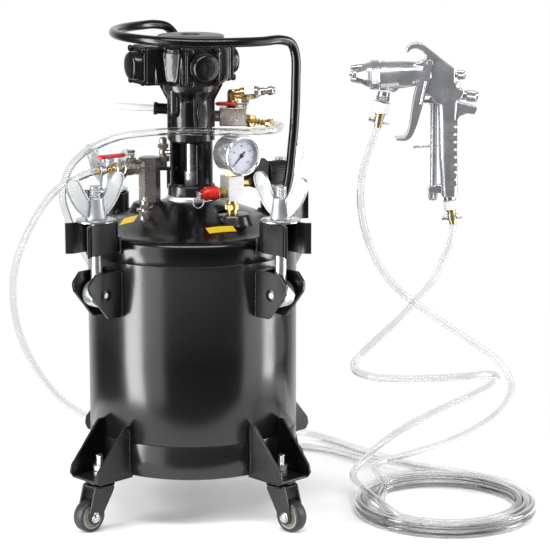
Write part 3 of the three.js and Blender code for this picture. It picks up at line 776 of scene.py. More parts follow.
def clip_weld(side):
    """Beads where one side of a clip meets the lid."""
    path = []
    for k in range(9):
        t = k / 8
        path.append((122.5 + 5.5 * t, side * (10 + 7.2 * t), 346 - 15 * t ** 1.3))
    return path


def add_lid():
    rim = [[125.6, LID_BOTTOM], [127.4, LID_BOTTOM], [LID_R, LID_BOTTOM + 0.8], [LID_R, 335.5],
           [127.7, 338.2], [126.8, 340.7], [125.2, 342.9], [123, 344.5], [120.6, 345.4]]
    under = [[9, NECK_Z], [9, 369], [34, 368], [60, 361], [86, 350], [112, 335], [113, 327],
             [125.6, 327], [125.6, LID_BOTTOM]]
    riser_port = lathe([[0, 356], [29, 356], [25, 362], [21.5, 368], [20, 370.6], [18.6, 371.5],
                        [0, 371.5]], 64)
    gauge_port = lathe([[0, 347], [31, 347], [28, 351], [24, 357], [21.6, 363.4], [20, 365.6],
                        [18.6, 366], [0, 366]], 64)
    dish = piece("lid_dish", lathe(rim + DOME + under, 128), POT, "paint", "pot", ["lid"])
    carve(dish, shifted(lathe([[0, 366], [18.6, 366], [23.5, 371], [24, 390], [0, 390]], 64),
                        *MANIFOLD, 0), POT)
    piece("riser_port", shifted(riser_port, *RISER, 0), POT, "paint", "pot")
    piece("gauge_port", shifted(gauge_port, *MANIFOLD, 0), POT, "paint", "pot")
    for order, (corner, angle) in enumerate(CORNERS.items()):
        place = turned_frame(angle)
        piece(f"lid_clip_{corner}", lid_clip(), place, "satin", "pot", bevel=0.9, segments=3)
        weld = merged(*[lumps(clip_weld(side), 2.3, order * 2 + side) for side in (-1, 1)])
        piece(f"clip_weld_{corner}", weld, place, "paint", "pot")
    dome_patch("warning_label", 91, -66, 34, 11.5, 0, "label")
    dome_patch("caution_label", 83, -151, 18, 18, 45, "label")
    piece("lid_seal", hollow(115.5, 124.4, 322.3, 326.4, 96), POT, "gasket", "pot", ["lid_gasket"])


def dome_patch(name, radius, azimuth, width, depth, turn, finish):
    """A label lying on the dome, `width` across the radius and `depth` along it."""
    count = 10
    centre = Vector((radius, 0))
    spin = Matrix.Rotation(math.radians(turn), 2)
    points = []
    for lift in (0.05, 0.35):
        for i in range(count + 1):
            for j in range(count + 1):
                flat = spin @ Vector(((j / count - 0.5) * depth, (i / count - 0.5) * width))
                spot = centre + flat
                points.append((spot.x, spot.y, dome_height(spot.length) + lift))
    row = count + 1
    top = row * row
    faces = []
    for i in range(count):
        for j in range(count):
            corner = i * row + j
            low = [corner, corner + row, corner + row + 1, corner + 1]
            faces += [low, [top + k for k in low[::-1]]]
    rim = ([(i, 0) for i in range(count)] + [(count, j) for j in range(count)]
           + [(i, count) for i in range(count, 0, -1)] + [(0, j) for j in range(count, 0, -1)])
    ring = [i * row + j for i, j in rim]
    faces += [[a, b, top + b, top + a] for a, b in zip(ring, ring[1:] + ring[:1])]
    return piece(name, (points, faces), turned_frame(azimuth), finish, "pot")


# ---- clamps, made facing +X ----
def add_clamp(corner, angle):
    place = turned_frame(angle)
    shape = rounded([(121, 309, 0), (121, 254, 0), (146, 254, 5), (173, 287, 9), (175, 297, 8),
                     (164, 309, 6)], 6, 8)
    ears = [slab(shape, 12, 16.2), slab(shape, -16.2, -12)]
    bend = rounded([(122, -16.2, 0), (126, -16.2, 5), (129, -12, 3), (129, 12, 3), (126, 16.2, 5),
                    (122, 16.2, 0)], 3)
    back = prism(bend, 254.5, 308.5)
    piece(f"ear_{corner}", merged(*ears, back), place, "satin", "pot",
          [f"ear_bracket_{corner}"], bevel=0.8, segments=3)
    pins = []
    for side in (-1, 1):
        head = [[0, 5.9], [3.4, 5.9], [4.1, 5.6], [4.9, 4.2], [5.3, 2.2], [5.45, 0]]
        pins.append(along((CLAMP_R, side * 11.9, PIN_Z), (CLAMP_R, side * 40, PIN_Z), head))
    pins.append(rod((CLAMP_R, -12, PIN_Z), (CLAMP_R, 12, PIN_Z), 5))
    piece(f"pivot_pin_{corner}", merged(*pins), place, "zinc", "pot")
    collars = [along((CLAMP_R, side * 16, PIN_Z), (CLAMP_R, side * 40, PIN_Z),
                     [[0, 7.4], [0.7, 7.4], [1, 7], [1, 0]]) for side in (-1, 1)]
    piece(f"pin_collar_{corner}", merged(*collars), place, "plastic", "pot")
    welds = merged(*[lumps([(BODY_R + 0.8, side * 16.4, 256 + 3.1 * k) for k in range(17)], 1.7,
                           len(corner) + side) for side in (-1, 1)])
    piece(f"ear_weld_{corner}", welds, place, "paint", "pot")

    eye = [[-9, 5.4], [-9, 13.6], [-8, 15], [-6, 15.5], [6, 15.5], [8, 15], [9, 13.6], [9, 5.4],
           [-9, 5.4]]
    ring = along((CLAMP_R, 0, PIN_Z), (CLAMP_R, 1, PIN_Z), eye, 48)
    neck = lathe([[8.6, 292], [7.6, 297], [6.6, 301], [6.6, 340]], 32)
    thread = threaded(BOLT_R, 339, 409)
    bolt = merged(ring, shifted(merged(neck, thread), CLAMP_R, 0, 0))
    piece(f"bolt_{corner}", bolt, place, "zinc", f"swing_{corner}", [f"swing_bolt_{corner}"])

    base = WASHER_Z
    washer = [[7.5, base], [22, base], [23, base + 0.7], [23, base + 2.1], [22.2, base + 2.7],
              [20.6, base + 2.9], [19.8, base + WASHER_THICK], [7.5, base + WASHER_THICK],
              [7.5, base]]
    piece(f"clamp_disc_{corner}", shifted(lathe(washer, 64), CLAMP_R, 0, 0), place, "steel",
          f"clamp_washer_{corner}", [f"washer_{corner}"])
    add_wing_nut(corner, place)


def add_wing_nut(corner, place):
    base = WASHER_Z + WASHER_THICK + 0.3
    hub = [[7.3, base], [12.2, base], [12.6, base + 0.8], [12.2, base + 3], [11, base + 9],
           [9.6, base + 19], [9.2, base + 23], [8.4, base + 24.2], [7.3, base + 24.2], [7.3, base]]
    wing = [(8.5, base + 3), (16, base + 4), (26, base + 12), (35, base + 24), (41, base + 36),
            (42.5, base + 43), (39, base + 49), (31.5, base + 50.5), (24, base + 46),
            (18, base + 35), (12.5, base + 26), (8.5, base + 20)]
    outline = curve_outline(wing, 5)
    wings = [panel(outline, 2.2, 2.1, 0.8), spun(panel(outline, 2.2, 2.1, 0.8), 180)]
    nut = shifted(merged(lathe(hub, 48), *wings), CLAMP_R, 0, 0)
    piece(f"wing_{corner}", nut, place, "wing", f"nut_{corner}", [f"wing_nut_{corner}"], bevel=0.5)


# ---- legs and casters, made facing +X ----
def add_leg(corner, angle):
    place = turned_frame(angle)
    side = rounded([(121, 61, 0), (171, 61, 4), (176, 68, 4), (174, 77, 3), (132, 125, 3),
                    (121, 125, 0)], 3)
    plates = [slab(side, 22, 25), slab(side, -25, -22), block((124.5, 171), (-25, 25), (61, 63.9))]
    piece(f"gusset_{corner}", merged(*plates), place, "satin", "pot", [f"leg_{corner}"], bevel=0.8,
          segments=3)
    welds = [lumps([(BODY_R + 0.7, y, z) for z in range(68, 122, 3)], 1.5, angle + y)
             for y in (-25.2, 25.2)]
    piece(f"leg_weld_{corner}", merged(*welds), place, "paint", "pot")
    stud = shifted(threaded(4, 46, 90, 1.25, 0.6, 20), STEM_R, 0, 0)
    nuts = [hex_along((STEM_R, 0, low), (STEM_R, 0, low + 6.4), 13, 0.9) for low in (64.1, 71.5)]
    head = hex_along((STEM_R, 0, 46), (STEM_R, 0, 50), 12.5, 0.8)
    piece(f"caster_stud_{corner}", merged(stud, head, *nuts), place, "steel", "pot")
    race = [[4.5, 58.7], [16.4, 58.7], [17.8, 59.4], [17.8, 60.2], [16.6, 60.9], [4.5, 60.9],
            [4.5, 58.7]]
    piece(f"race_{corner}", shifted(lathe(race), STEM_R, 0, 0), place, "paint", "pot")


def add_caster(corner, angle):
    place = turned_frame(angle) @ Matrix.Translation((STEM_R, 0, 0))
    crown = [[4.6, 53], [16.6, 53], [17.8, 53.8], [17.8, 55], [16.8, 56.2], [14.6, 56.9],
             [13.8, 58.3], [4.6, 58.3], [4.6, 53]]
    cheek = rounded([(-12.5, 55.5, 2), (-13, 48, 4), (6, 18, 8), (11, 10, 5), (24, 10.5, 7),
                     (26, 22, 7), (20, 42, 6), (16, 55.5, 2)], 5)
    cheeks = [slab(cheek, 9.2, 11.4), slab(cheek, -11.4, -9.2)]
    bridge = block((-12.5, 15.5), (-11.4, 11.4), (52.6, 55.6))
    piece(f"fork_{corner}", merged(*cheeks, bridge), place, "satin", f"caster_{corner}",
          [f"caster_fork_{corner}"], bevel=0.7)
    piece(f"crown_{corner}", lathe(crown, 64), place, "paint", f"caster_{corner}")
    bolts = []
    for side in (-1, 1):
        head = [[0, 6.2], [1.2, 6.2], [1.6, 5.2], [3.2, 5], [4.2, 3.6], [4.6, 0]]
        bolts.append(along((TRAIL, side * 11.4, WHEEL_R), (TRAIL, side * 40, WHEEL_R), head))
    bolts.append(rod((TRAIL, -11.4, WHEEL_R), (TRAIL, 11.4, WHEEL_R), 3))
    piece(f"axle_{corner}", merged(*bolts), place, "steel", f"caster_{corner}")
    tread = [[14.6, -7.2], [16.4, -7.5], [17.8, -6.9], [18.6, -5.4], [18.95, -2.5], [19, 0],
             [18.95, 2.5], [18.6, 5.4], [17.8, 6.9], [16.4, 7.5], [14.6, 7.2], [14.6, -7.2]]
    core = [[3.2, -5], [6.2, -5], [6.8, -7.2], [9, -7.2], [9.6, -5], [12.2, -5], [12.8, -6.9],
            [14.7, -7.1], [14.7, 7.1], [12.8, 6.9], [12.2, 5], [9.6, 5], [9, 7.2], [6.8, 7.2],
            [6.2, 5], [3.2, 5], [3.2, -5]]
    across = Matrix.Translation((TRAIL, 0, WHEEL_R)) @ Matrix.Rotation(math.pi / 2, 4, "X")
    piece(f"tyre_{corner}", moved(lathe(tread, 64), across), place, "tread", f"wheel_{corner}",
          [f"caster_wheel_{corner}"])
    piece(f"wheel_core_{corner}", moved(lathe(core, 64), across), place, "wheel", f"wheel_{corner}")


# ---- agitator ----
WINDOW_TURN = -23


def add_column():
    wall = [[22, 381.3], [27.6, 381.3], [28.2, 382], [28.2, 392.4], [27.4, 393.6], [25.9, 394.6],
            [25.5, 396], [25.5, 444], [26, 446], [28.2, 447.4], [28.2, 457.4], [26.4, 459],
            [25.2, 461], [25, 488], [25.6, 493], [28, 499], [32, 505], [33.4, 508], [33.4, 512.9],
            [22, 512.9], [22, 381.3]]
    column = piece("column", lathe(wall, 96), POT, "cast", "pot", ["agitator_column"])
    window = rounded([(-16.2, 396), (16.2, 396), (16.2, 445), (-16.2, 445)], 4)
    carve(column, slab(window, -60, -5), turned_frame(WINDOW_TURN))
    ring = [[22.5, 375.2], [29.4, 375.2], [30, 376], [29.6, 378.4], [28.6, 380.6], [28, 381.2],
            [22.5, 381.2], [22.5, 375.2]]
    piece("column_ring", lathe(ring, 96), POT, "aluminium", "pot")
    ribs = [spun(block((-1.7, 1.7), (-28.4, -23), (461, 499)), turn) for turn in (12, 24, 100, 190, 280)]
    piece("column_ribs", merged(*ribs), POT, "cast", "pot", bevel=1.2, segments=3)
    boss = lathe([[0, 475.5], [2.6, 476.2], [4.8, 478.4], [5.9, 482], [6.2, 513], [0, 513]], 32)
    piece("column_boss", shifted(boss, -19, -19.5, 0), POT, "cast", "pot")
    gusset = slab([(-25, 488), (-38, 513), (-22, 513)], -3, 3)
    piece("column_gusset", merged(gusset, spun(gusset, 180)), POT, "cast", "pot", bevel=1.0)
    oval = [(math.cos(math.radians(15 * k)) * 6.4, 481.5 + math.sin(math.radians(15 * k)) * 12.6)
            for k in range(24)]
    piece("column_plug", slab(oval, -28.6, -20), turned_frame(30), "cast", "pot", bevel=1.6,
          segments=3)
    bushing = along((-24, 0, 483), (-90, 0, 486.6), [[0, 6.4], [15, 6.4], [16, 7.6], [19.5, 7.6],
                                                     [20, 6.8]], 32)
    piece("exhaust_bushing", bushing, POT, "cast", "pot")
    tube = along((-42, 0, 484), (-90, 0, 486.6), [[0, 3.9], [46, 3.9], [48.4, 3.2], [49.3, 1.5]], 24)
    piece("exhaust_tube", tube, POT, "milky", "pot")
    add_grease_fitting()
    add_bleed_cock()


def add_grease_fitting():
    """The nickel fitting behind the outlet riser, and its black bracket."""
    spot = (-34, 12)
    stack = lathe([[0, 412], [4.6, 412], [4.6, 418], [3.6, 419], [3.6, 426], [5, 427], [5, 433],
                   [3.4, 434.5], [3.4, 440], [4.4, 441], [4.4, 446], [2.6, 448], [0, 448.4]], 28)
    nuts = [hex_along((0, 0, 418.5), (0, 0, 425.5), 13, 0.8), hex_along((0, 0, 434.5), (0, 0, 440), 11, 0.7)]
    fitting = shifted(merged(stack, *nuts), *spot, 0)
    arm = rod((-34, 12, 430), (-20, 6, 430), 3)
    piece("column_fitting", merged(fitting, arm), POT, "nickel", "pot")
    bracket = merged(block((-38, -18), (8, 16), (408, 412)), block((-30, -24), (9, 15), (386, 409)))
    piece("fitting_bracket", bracket, POT, "satin", "pot", bevel=1.0)


def add_bleed_cock():
    """The small nickel cock in front of the outlet riser."""
    base = dome_height(math.hypot(-53, -47)) - 1
    body = lathe([[0, base - 4], [6.4, base - 4], [6.4, base + 2.4], [4.4, base + 3], [4.4, base + 11],
                  [3.2, base + 12], [3.2, base + 16], [4.6, base + 16.6], [4.6, base + 21],
                  [2.2, base + 22], [2.2, base + 25.4], [0, base + 26]], 28)
    nuts = [hex_along((0, 0, base + 2.4), (0, 0, base + 8.6), 12.4, 0.8),
            hex_along((0, 0, base + 12.4), (0, 0, base + 16.4), 10, 0.7)]
    side = rod((0, 0, base + 10.4), (-9, -3, base + 10.4), 2.4)
    piece("bleed_cock", shifted(merged(body, side, *nuts), -53, -47, 0), POT, "nickel", "pot")


def add_shaft():
    shaft = lathe([[0, 105], [5, 105], [5, 360], [7.2, 376], [7.2, 511], [0, 511]], 48)
    coupling = lathe([[7.2, 393.5], [8.3, 393.5], [8.6, 394.2], [8.6, 408.2], [8.3, 409], [7.2, 409],
                      [7.2, 393.5]], 48)
    hub = lathe([[5, 108], [9.4, 108], [10, 109], [10, 125], [9.4, 126], [5, 126], [5, 108]], 48)
    blades = [spun(block((-38, 38), (-1.1, 1.1), (110, 124)), turn) for turn in (0, 45, 90, 135)]
    piece("shaft", merged(shaft, hub), POT, "steel", "agitator", ["agitator_shaft"])
    piece("paddle", merged(*blades), POT, "zinc", "agitator", bevel=0.4)
    screws = []
    for turn in (-120, 60):
        for height in (397.5, 405):
            screw = [[0, 2.2], [1.2, 2.2], [1.2, 1.2], [0.4, 1.2], [0.4, 0]]
            direction = Vector((math.cos(math.radians(turn)), math.sin(math.radians(turn)), 0))
            start = direction * 7.8 + Vector((0, 0, height))
            screws.append(along(start, start + direction, screw, 16))
    piece("coupling", coupling, POT, "aluminium", "agitator")
    piece("coupling_screws", merged(*screws), POT, "plastic", "agitator")


def add_motor():
    core = lathe([[0, MOTOR_Z], [34, MOTOR_Z], [40, 515], [45, 520], [46, 526], [46, 552], [44, 558],
                  [39, 562], [0, 563]], 72)
    parts = [core]
    centre = Matrix.Translation((MOTOR_SHIFT, 0, 0))
    for quarter in range(4):
        turn = MOTOR_TURN + 90 * quarter
        cheek = rounded([(-21, 515), (21, 515), (21, 561), (-21, 561)], 6)
        rib = slab([(-24.5, 517), (-21, 515), (-20, 561), (-21, 561)], -44, -12)
        spoke = slab([(24.5, 517), (20, 561), (21, 515)][::-1], -44, -12)
        limb = merged(slab(cheek, -54.5, -15), rib, spoke, rod((0, -40, 538), (0, -60, 538), 18.5, 17.5))
        parts.append(moved(spun(limb, turn), centre))
    body = piece("motor_casting", merged(*parts), POT, "cast", "pot", ["air_motor"])
    cast_together(body, 0.9, 4)
    for quarter in range(4):
        place = turned_frame(MOTOR_TURN + 90 * quarter, MOTOR_SHIFT)
        cover = rounded([(-20.5, 516), (20.5, 516), (20.5, 560), (-20.5, 560)], 5)
        piece(f"motor_cover_{quarter}", slab(cover, -58, -54.3), place, "cast", "pot", bevel=1.1,
              segments=3)
        cap = [[0, 17.4], [5.5, 17], [9, 16], [10.4, 15], [11, 13.4], [11.3, 9], [11.3, 0]]
        piece(f"motor_cap_{quarter}", along((0, -57.8, 538), (0, -80, 538), cap, 48), place, "cast",
              "pot")
        screws = []
        for x in (-17, 17):
            for z in (519.5, 556.5):
                head = [[0, 4], [1.6, 4], [2.8, 3.5], [3.3, 2.4], [3.3, 1.6], [2.2, 1.5], [2.2, 0]]
                screws.append(along((x, -57.9, z), (x, -80, z), head, 20))
        piece(f"cover_screws_{quarter}", merged(*screws), place, "plastic", "pot")
    disc = [[10, 564], [37.5, 563.6], [39.8, 564.6], [39.8, 569.6], [38.6, 570.6], [14, 571.8],
            [11.6, 571.4], [10.6, 570], [10, 564]]
    piece("motor_disc", lathe(disc, 96), POT, "satin", "pot")
    hole = [[0, 564.2], [10, 564.2], [10, 565], [0, 565]]
    piece("disc_recess", lathe(hole, 48), POT, "plastic", "pot")


HANDLE_ROUTE = [[103, -34, 341], [108, -36, 375], [115, -39, 404], [119, -41, 440], [122, -43, 475],
                [123.5, -45, 520], [123, -46, 552], [118, -50, 566], [106, -60, 571],
                [84, -78, 571], [50, -95, 571.5], [8, -104, 572], [-33, -97, 573.5],
                [-65, -72, 574.3], [-84, -36, 574.5], [-90, 6, 574.3], [-83, 44, 574.2],
                [-64, 77, 574.2], [-46, 94, 574], [-32, 102, 570], [-22, 103, 557],
                [-20, 101, 530], [-20, 97, 450], [-20, 96, 380], [-20, 96, 347]]


def add_handle():
    path = smooth_path(HANDLE_ROUTE, 3)
    piece("lid_handle", swept(path, HANDLE_R, 28), POT, "paint", "pot", ["handle"])
    feet = []
    for x, y in (HANDLE_ROUTE[0][:2], HANDLE_ROUTE[-1][:2]):
        low = dome_height(math.hypot(x, y))
        ring = [(x + 5.6 * math.cos(k * math.pi / 8), y + 5.6 * math.sin(k * math.pi / 8), low + 0.8)
                for k in range(16)]
        feet.append(lumps(ring, 2.0, round(x)))
    piece("handle_welds", merged(*feet), POT, "paint", "pot")


# ---- gauge and its manifold ----
def add_gauge():
    away = Matrix.Translation((0, 0, GAUGE_Z)) @ Matrix.Rotation(math.pi / 2, 4, "X")
    case = [[0, -10], [17, -10], [20.4, -9], [21.6, -7], [21.6, 20.2], [22.6, 20.6], [23.3, 21.6],
            [23.6, 23], [23.5, 25.2], [22.6, 26.3], [21.4, 26.5], [20.4, 25.8], [19.7, 24.5],
            [19.5, 20.6], [0, 20.4]]
    piece("gauge_drum", moved(lathe(case, 96), away), GAUGE_FRAME, "chrome", "pot", ["gauge_case"])
    piece("gauge_dial", moved(lathe([[0, 20.4], [19.4, 20.4], [19.4, 20.9], [0, 20.9]], 96), away),
          GAUGE_FRAME, "dial", "pot")
    marks = []
    for step in range(41):
        turn = -135 + 270 * step / 40
        long_mark = step % 5 == 0
        inner, half = (14.2, 0.28) if long_mark else (15.6, 0.14)
        mark = block((-half, half), (-21.05, -20.85), (inner, 17.4))
        marks.append(spun(mark, turn, "Y"))
    arc = [(17.6 * math.sin(math.radians(-135 + 5.4 * k)), 17.6 * math.cos(math.radians(-135 + 5.4 * k)))
           for k in range(51)]
    arc += [(17.3 * math.sin(math.radians(135 - 5.4 * k)), 17.3 * math.cos(math.radians(135 - 5.4 * k)))
            for k in range(51)]
    marks.append(slab(arc, -21.05, -20.85))
    piece("dial_marks", shifted(merged(*marks), 0, 0, GAUGE_Z), GAUGE_FRAME, "ink", "pot")
    add_numbers()
    pointer = prism([(-0.75, -6), (0.75, -6), (0.9, 0), (0.16, 15.2), (-0.16, 15.2), (-0.9, 0)],
                    21.5, 21.9)
    hub = lathe([[0, 21.2], [2.4, 21.2], [2.4, 22.3], [1.8, 22.8], [0, 22.9]], 32)
    needle = moved(merged(spun(pointer, 135), hub), away)
    piece("needle_pointer", needle, GAUGE_FRAME, "ink", "needle", ["gauge_needle"])
    piece("gauge_socket", hex_along((0, 0, 411.2), (0, 0, 419.5), 17, 0.8), GAUGE_FRAME, "brass", "pot")
    piece("gauge_neck", rod((0, 0, 409), (0, 0, 412), 6), GAUGE_FRAME, "brass", "pot")


def add_numbers():
    """Plain numbers round the dial."""
    words = []
    for step in range(0, 9, 2):
        data = bpy.data.curves.new(f"dial_number_{step}", "FONT")
        data.body = str(step * 20)
        data.size = 3.4 * MM
        data.align_x = data.align_y = "CENTER"
        data.extrude = 0.05 * MM
        turn = math.radians(-135 + 270 * step / 8)
        spot = Matrix.Translation((11.4 * math.sin(turn) * MM, -20.95 * MM, 11.4 * math.cos(turn) * MM))
        text = bpy.data.objects.new(data.name, data)
        bpy.context.collection.objects.link(text)
        face = Matrix.Rotation(math.pi / 2, 4, "X")
        whole = GAUGE_FRAME @ Matrix.Translation((0, 0, GAUGE_Z)) @ Matrix.Scale(1 / MM, 4) @ spot @ face
        text.matrix_world = whole
        bpy.context.view_layer.update()
        graph = bpy.context.evaluated_depsgraph_get()
        mesh = bpy.data.meshes.new_from_object(text.evaluated_get(graph))
        mesh.transform(text.matrix_world)
        words.append(mesh)
        bpy.data.objects.remove(text)
    work = bmesh.new()
    for mesh in words:
        work.from_mesh(mesh)
        bpy.data.meshes.remove(mesh)
    mesh = bpy.data.meshes.new("dial_numbers")
    work.to_mesh(mesh)
    work.free()
    mesh.materials.clear()
    mesh.materials.append(MATERIALS["ink"])
    numbers = bpy.data.objects.new("dial_numbers", mesh)
    bpy.context.collection.objects.link(numbers)
    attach(numbers, "pot")


def add_manifold():
    place = MANIFOLD_FRAME
    cube = block((-10.25, 10.25), (-10.25, 10.25), (382, 411))
    piece("manifold_cube", cube, place, "aluminium", "pot", ["manifold_block"], bevel=0.7)
    nipple = [[0, 366], [6.6, 366], [6.6, 371.2], [8.4, 371.4], [8.6, 377], [6.4, 377.4], [6.2, 382.4],
              [0, 382.4]]
    piece("manifold_nipple", lathe(nipple, 40), place, "brass", "pot")
    piece("nipple_hex", hex_along((0, 0, 371.2), (0, 0, 377), 16, 0.7), place, "brass", "pot")

    piece("safety_hex", hex_along((-10.3, 0, 392), (-20.4, 0, 392), 13, 0.8), place, "brass", "pot")
    grip = [[0, 7.4], [0.8, 8.1]]
    for k in range(5):
        grip += [[1.6 + k * 2.6, 8.2], [2.4 + k * 2.6, 7.5], [3.0 + k * 2.6, 7.5], [3.8 + k * 2.6, 8.2]]
    grip += [[15, 7.9], [17.2, 5.8], [19.8, 5.4], [20.1, 4.6]]
    piece("safety_bonnet", along((-20.2, 0, 392), (-60, 0, 392), grip, 48), place, "anodised", "pot",
          ["safety_valve_body"])
    stem = rod((-40.2, 0, 392), (-45, 0, 392), 1.8)
    tab = block((-46, -44.7), (-3.2, 3.2), (386.5, 395.5))
    piece("safety_stem", merged(stem, tab), place, "steel", "safety_pull", bevel=0.3)
    hoop = [Vector((6.2 * math.cos(k * math.pi / 18), 0, 6.2 * math.sin(k * math.pi / 18)))
            for k in range(37)]
    ring = shifted(spun(swept(hoop, 0.75, 12), -20), -45.2, 0, 382.5)
    piece("safety_hoop", ring, place, "steel", "safety_pull", ["safety_valve_pull"])

    piece("regulator_nipple", rod((10, 0, 402), (25, 0, 402), 5.8), place, "brass", "pot")
    shape = rounded([(24, 395), (36, 394), (42, 398), (42, 426), (38, 430), (24, 430)], 3)
    piece("regulator_case", slab(shape, -14, 14), place, "plastic", "pot", ["regulator_body"],
          bevel=1.4, segments=3)
    collar = along((41.5, 0, 409.5), (60, 0, 409.5), [[0, 11], [2.4, 11], [2.6, 9], [3.8, 9]], 48)
    piece("regulator_collar", collar, place, "plastic", "pot")
    ribs, count = [], 30
    profile = [(0, 12.4), (1.6, 14), (4, 14.4), (24, 14.4), (27.5, 13.4), (28.8, 11.4)]
    rings = []
    for distance, radius in profile:
        ring = []
        for k in range(count * 4):
            groove = 0.9 if k % 4 in (0, 1) and 2 < distance < 27 else 0
            turn = 2 * math.pi * k / (count * 4)
            ring.append((45.4 + distance, (radius - groove) * math.cos(turn),
                         409.5 + (radius - groove) * math.sin(turn)))
        rings.append(ring)
    points = [p for ring in rings for p in ring]
    around = count * 4
    for level in range(len(rings) - 1):
        for k in range(around):
            n = (k + 1) % around
            ribs.append([level * around + k, level * around + n, (level + 1) * around + n,
                         (level + 1) * around + k])
    ribs += [list(range(around))[::-1], list(range((len(rings) - 1) * around, len(rings) * around))]
    piece("regulator_grip", (points, ribs), place, "plastic", "pressure_knob", ["regulator_knob"],
          flat_ok=False)


# ---- air supply to the motor ----
def add_lever(name, place, length, low, body, node):
    """A bright strip from the stem out to a thicker red grip, lying along +X."""
    strip = rounded([(-4.4, -4.4), (length * 0.6, -4.4), (length * 0.6, 4.4), (-4.4, 4.4)], 4.3)
    piece(f"{name}_strip", prism(strip, low, low + 1.8), place, "nickel", body, [node], bevel=0.3)
    sections = []
    for k in range(13):
        t = k / 12
        round_end = math.sqrt(max(0.02, 1 - max(0, (t - 0.86) / 0.14) ** 2))
        near = min(1, 0.75 + t * 2.2)
        sections.append((10 + (length - 10) * t, 5.4 * round_end * near, 2.5 * round_end))
    sides = 24
    points, faces = [], []
    for x, half_y, half_z in sections:
        for n in range(sides):
            turn = 2 * math.pi * n / sides
            points.append((x, half_y * math.cos(turn), low + 1.1 + half_z * math.sin(turn)))
    for level in range(len(sections) - 1):
        for n in range(sides):
            m = (n + 1) % sides
            faces.append([level * sides + n, level * sides + m, (level + 1) * sides + m,
                          (level + 1) * sides + n])
    last = (len(sections) - 1) * sides
    faces += [list(range(sides))[::-1], list(range(last, last + sides))]
    piece(f"{name}_grip", (points, faces), place, "red", body)


def add_air_supply():
    body = block((33.2, 66), (10, 32), (461, 483))
    piece("air_valve", body, POT, "nickel", "pot", ["air_valve_body"], bevel=1.6, segments=3)
    piece("air_valve_seat", rod((27, 21, 472), (34, 21, 472), 6.8), POT, "nickel", "pot")
    piece("air_stem", rod((64, 14, 482), (64, 14, 486.2), 3.4), POT, "nickel", "pot")
    start, end = (66, 18.5, 467), (92, -1, 466)
    seal = along(start, end, [[-2, 7.4], [1, 7.4], [1.2, 6.8], [2.6, 6.8]], 40)
    piece("air_seal", seal, POT, "seal", "pot")
    tail = [[0, 5.6], [2.8, 5.6], [3, 7.2], [9.4, 7.2], [9.7, 4.2]]
    for k in range(4):
        tail += [[11.5 + 5 * k, 4.2], [12 + 5 * k, 3.0], [16 + 5 * k, 3.6]]
    piece("air_barb", along(start, end, tail, 32), POT, "brass", "pot")
    piece("air_barb_hex", hex_along(Vector(start) + 3.2 * DIR_BARB, Vector(start) + 9.4 * DIR_BARB, 14),
          POT, "brass", "pot")
    band = along(Vector(start) + 31.5 * DIR_BARB, Vector(start) + 60 * DIR_BARB,
                 [[0, 5.1], [0.4, 5.6], [6, 5.6], [6.4, 5.1]], 40)
    piece("air_hose_clip", band, POT, "brass", "pot")
    add_lever("air_handle", turned_frame(180, 64, 14), 36, 486.4, "air_lever", "air_valve_lever")
    nut = hex_along((64, 14, 489), (64, 14, 492.4), 8, 0.6)
    piece("air_handle_nut", nut, POT, "steel", "air_lever")

    elbow = merged(lathe([[0, 483.1], [6.8, 483.1], [7.2, 484], [7.2, 489], [6.2, 490], [6.2, 500],
                          [4.5, 503], [0, 503.4]], 40))
    piece("inlet_elbow", shifted(elbow, 48.5, 27, 0), POT, "brass", "pot", bevel=0.5)
    start, toward = (44, 27, 496.6), (99.5, 27, 502)
    run = [[0, 4], [1.2, 6], [13.6, 6], [14, 7.2], [18.6, 7.2], [19, 6]]
    piece("inlet_run", along(start, toward, run, 40), POT, "brass", "pot", ["air_inlet_plug"])
    axis = (Vector(toward) - Vector(start)).normalized()
    coupler = hex_along(Vector(start) + axis * 19, Vector(start) + axis * 31, 15.4, 1.0)
    piece("inlet_hex", coupler, POT, "nickel", "pot")
    plug = [[31, 7.6], [33.6, 7.4], [37, 5.6], [38.2, 4.6], [43, 4.6], [43.5, 3.7], [46.5, 3.7],
            [47, 5], [49, 5.4], [52.6, 5.4], [53.4, 4.6], [55.6, 4.1], [55.8, 3.4]]
    piece("inlet_plug", along(start, toward, plug, 40), POT, "nickel", "pot")


DIR_BARB = (Vector((92, -1, 466)) - Vector((66, 18.5, 467))).normalized()

# ---- fluid outlet ----
OUTLET = Vector((-50, 0, 416))
OUTLET_END = Vector((-108, -42, 416))
DIR_OUTLET = (OUTLET_END - OUTLET).normalized()


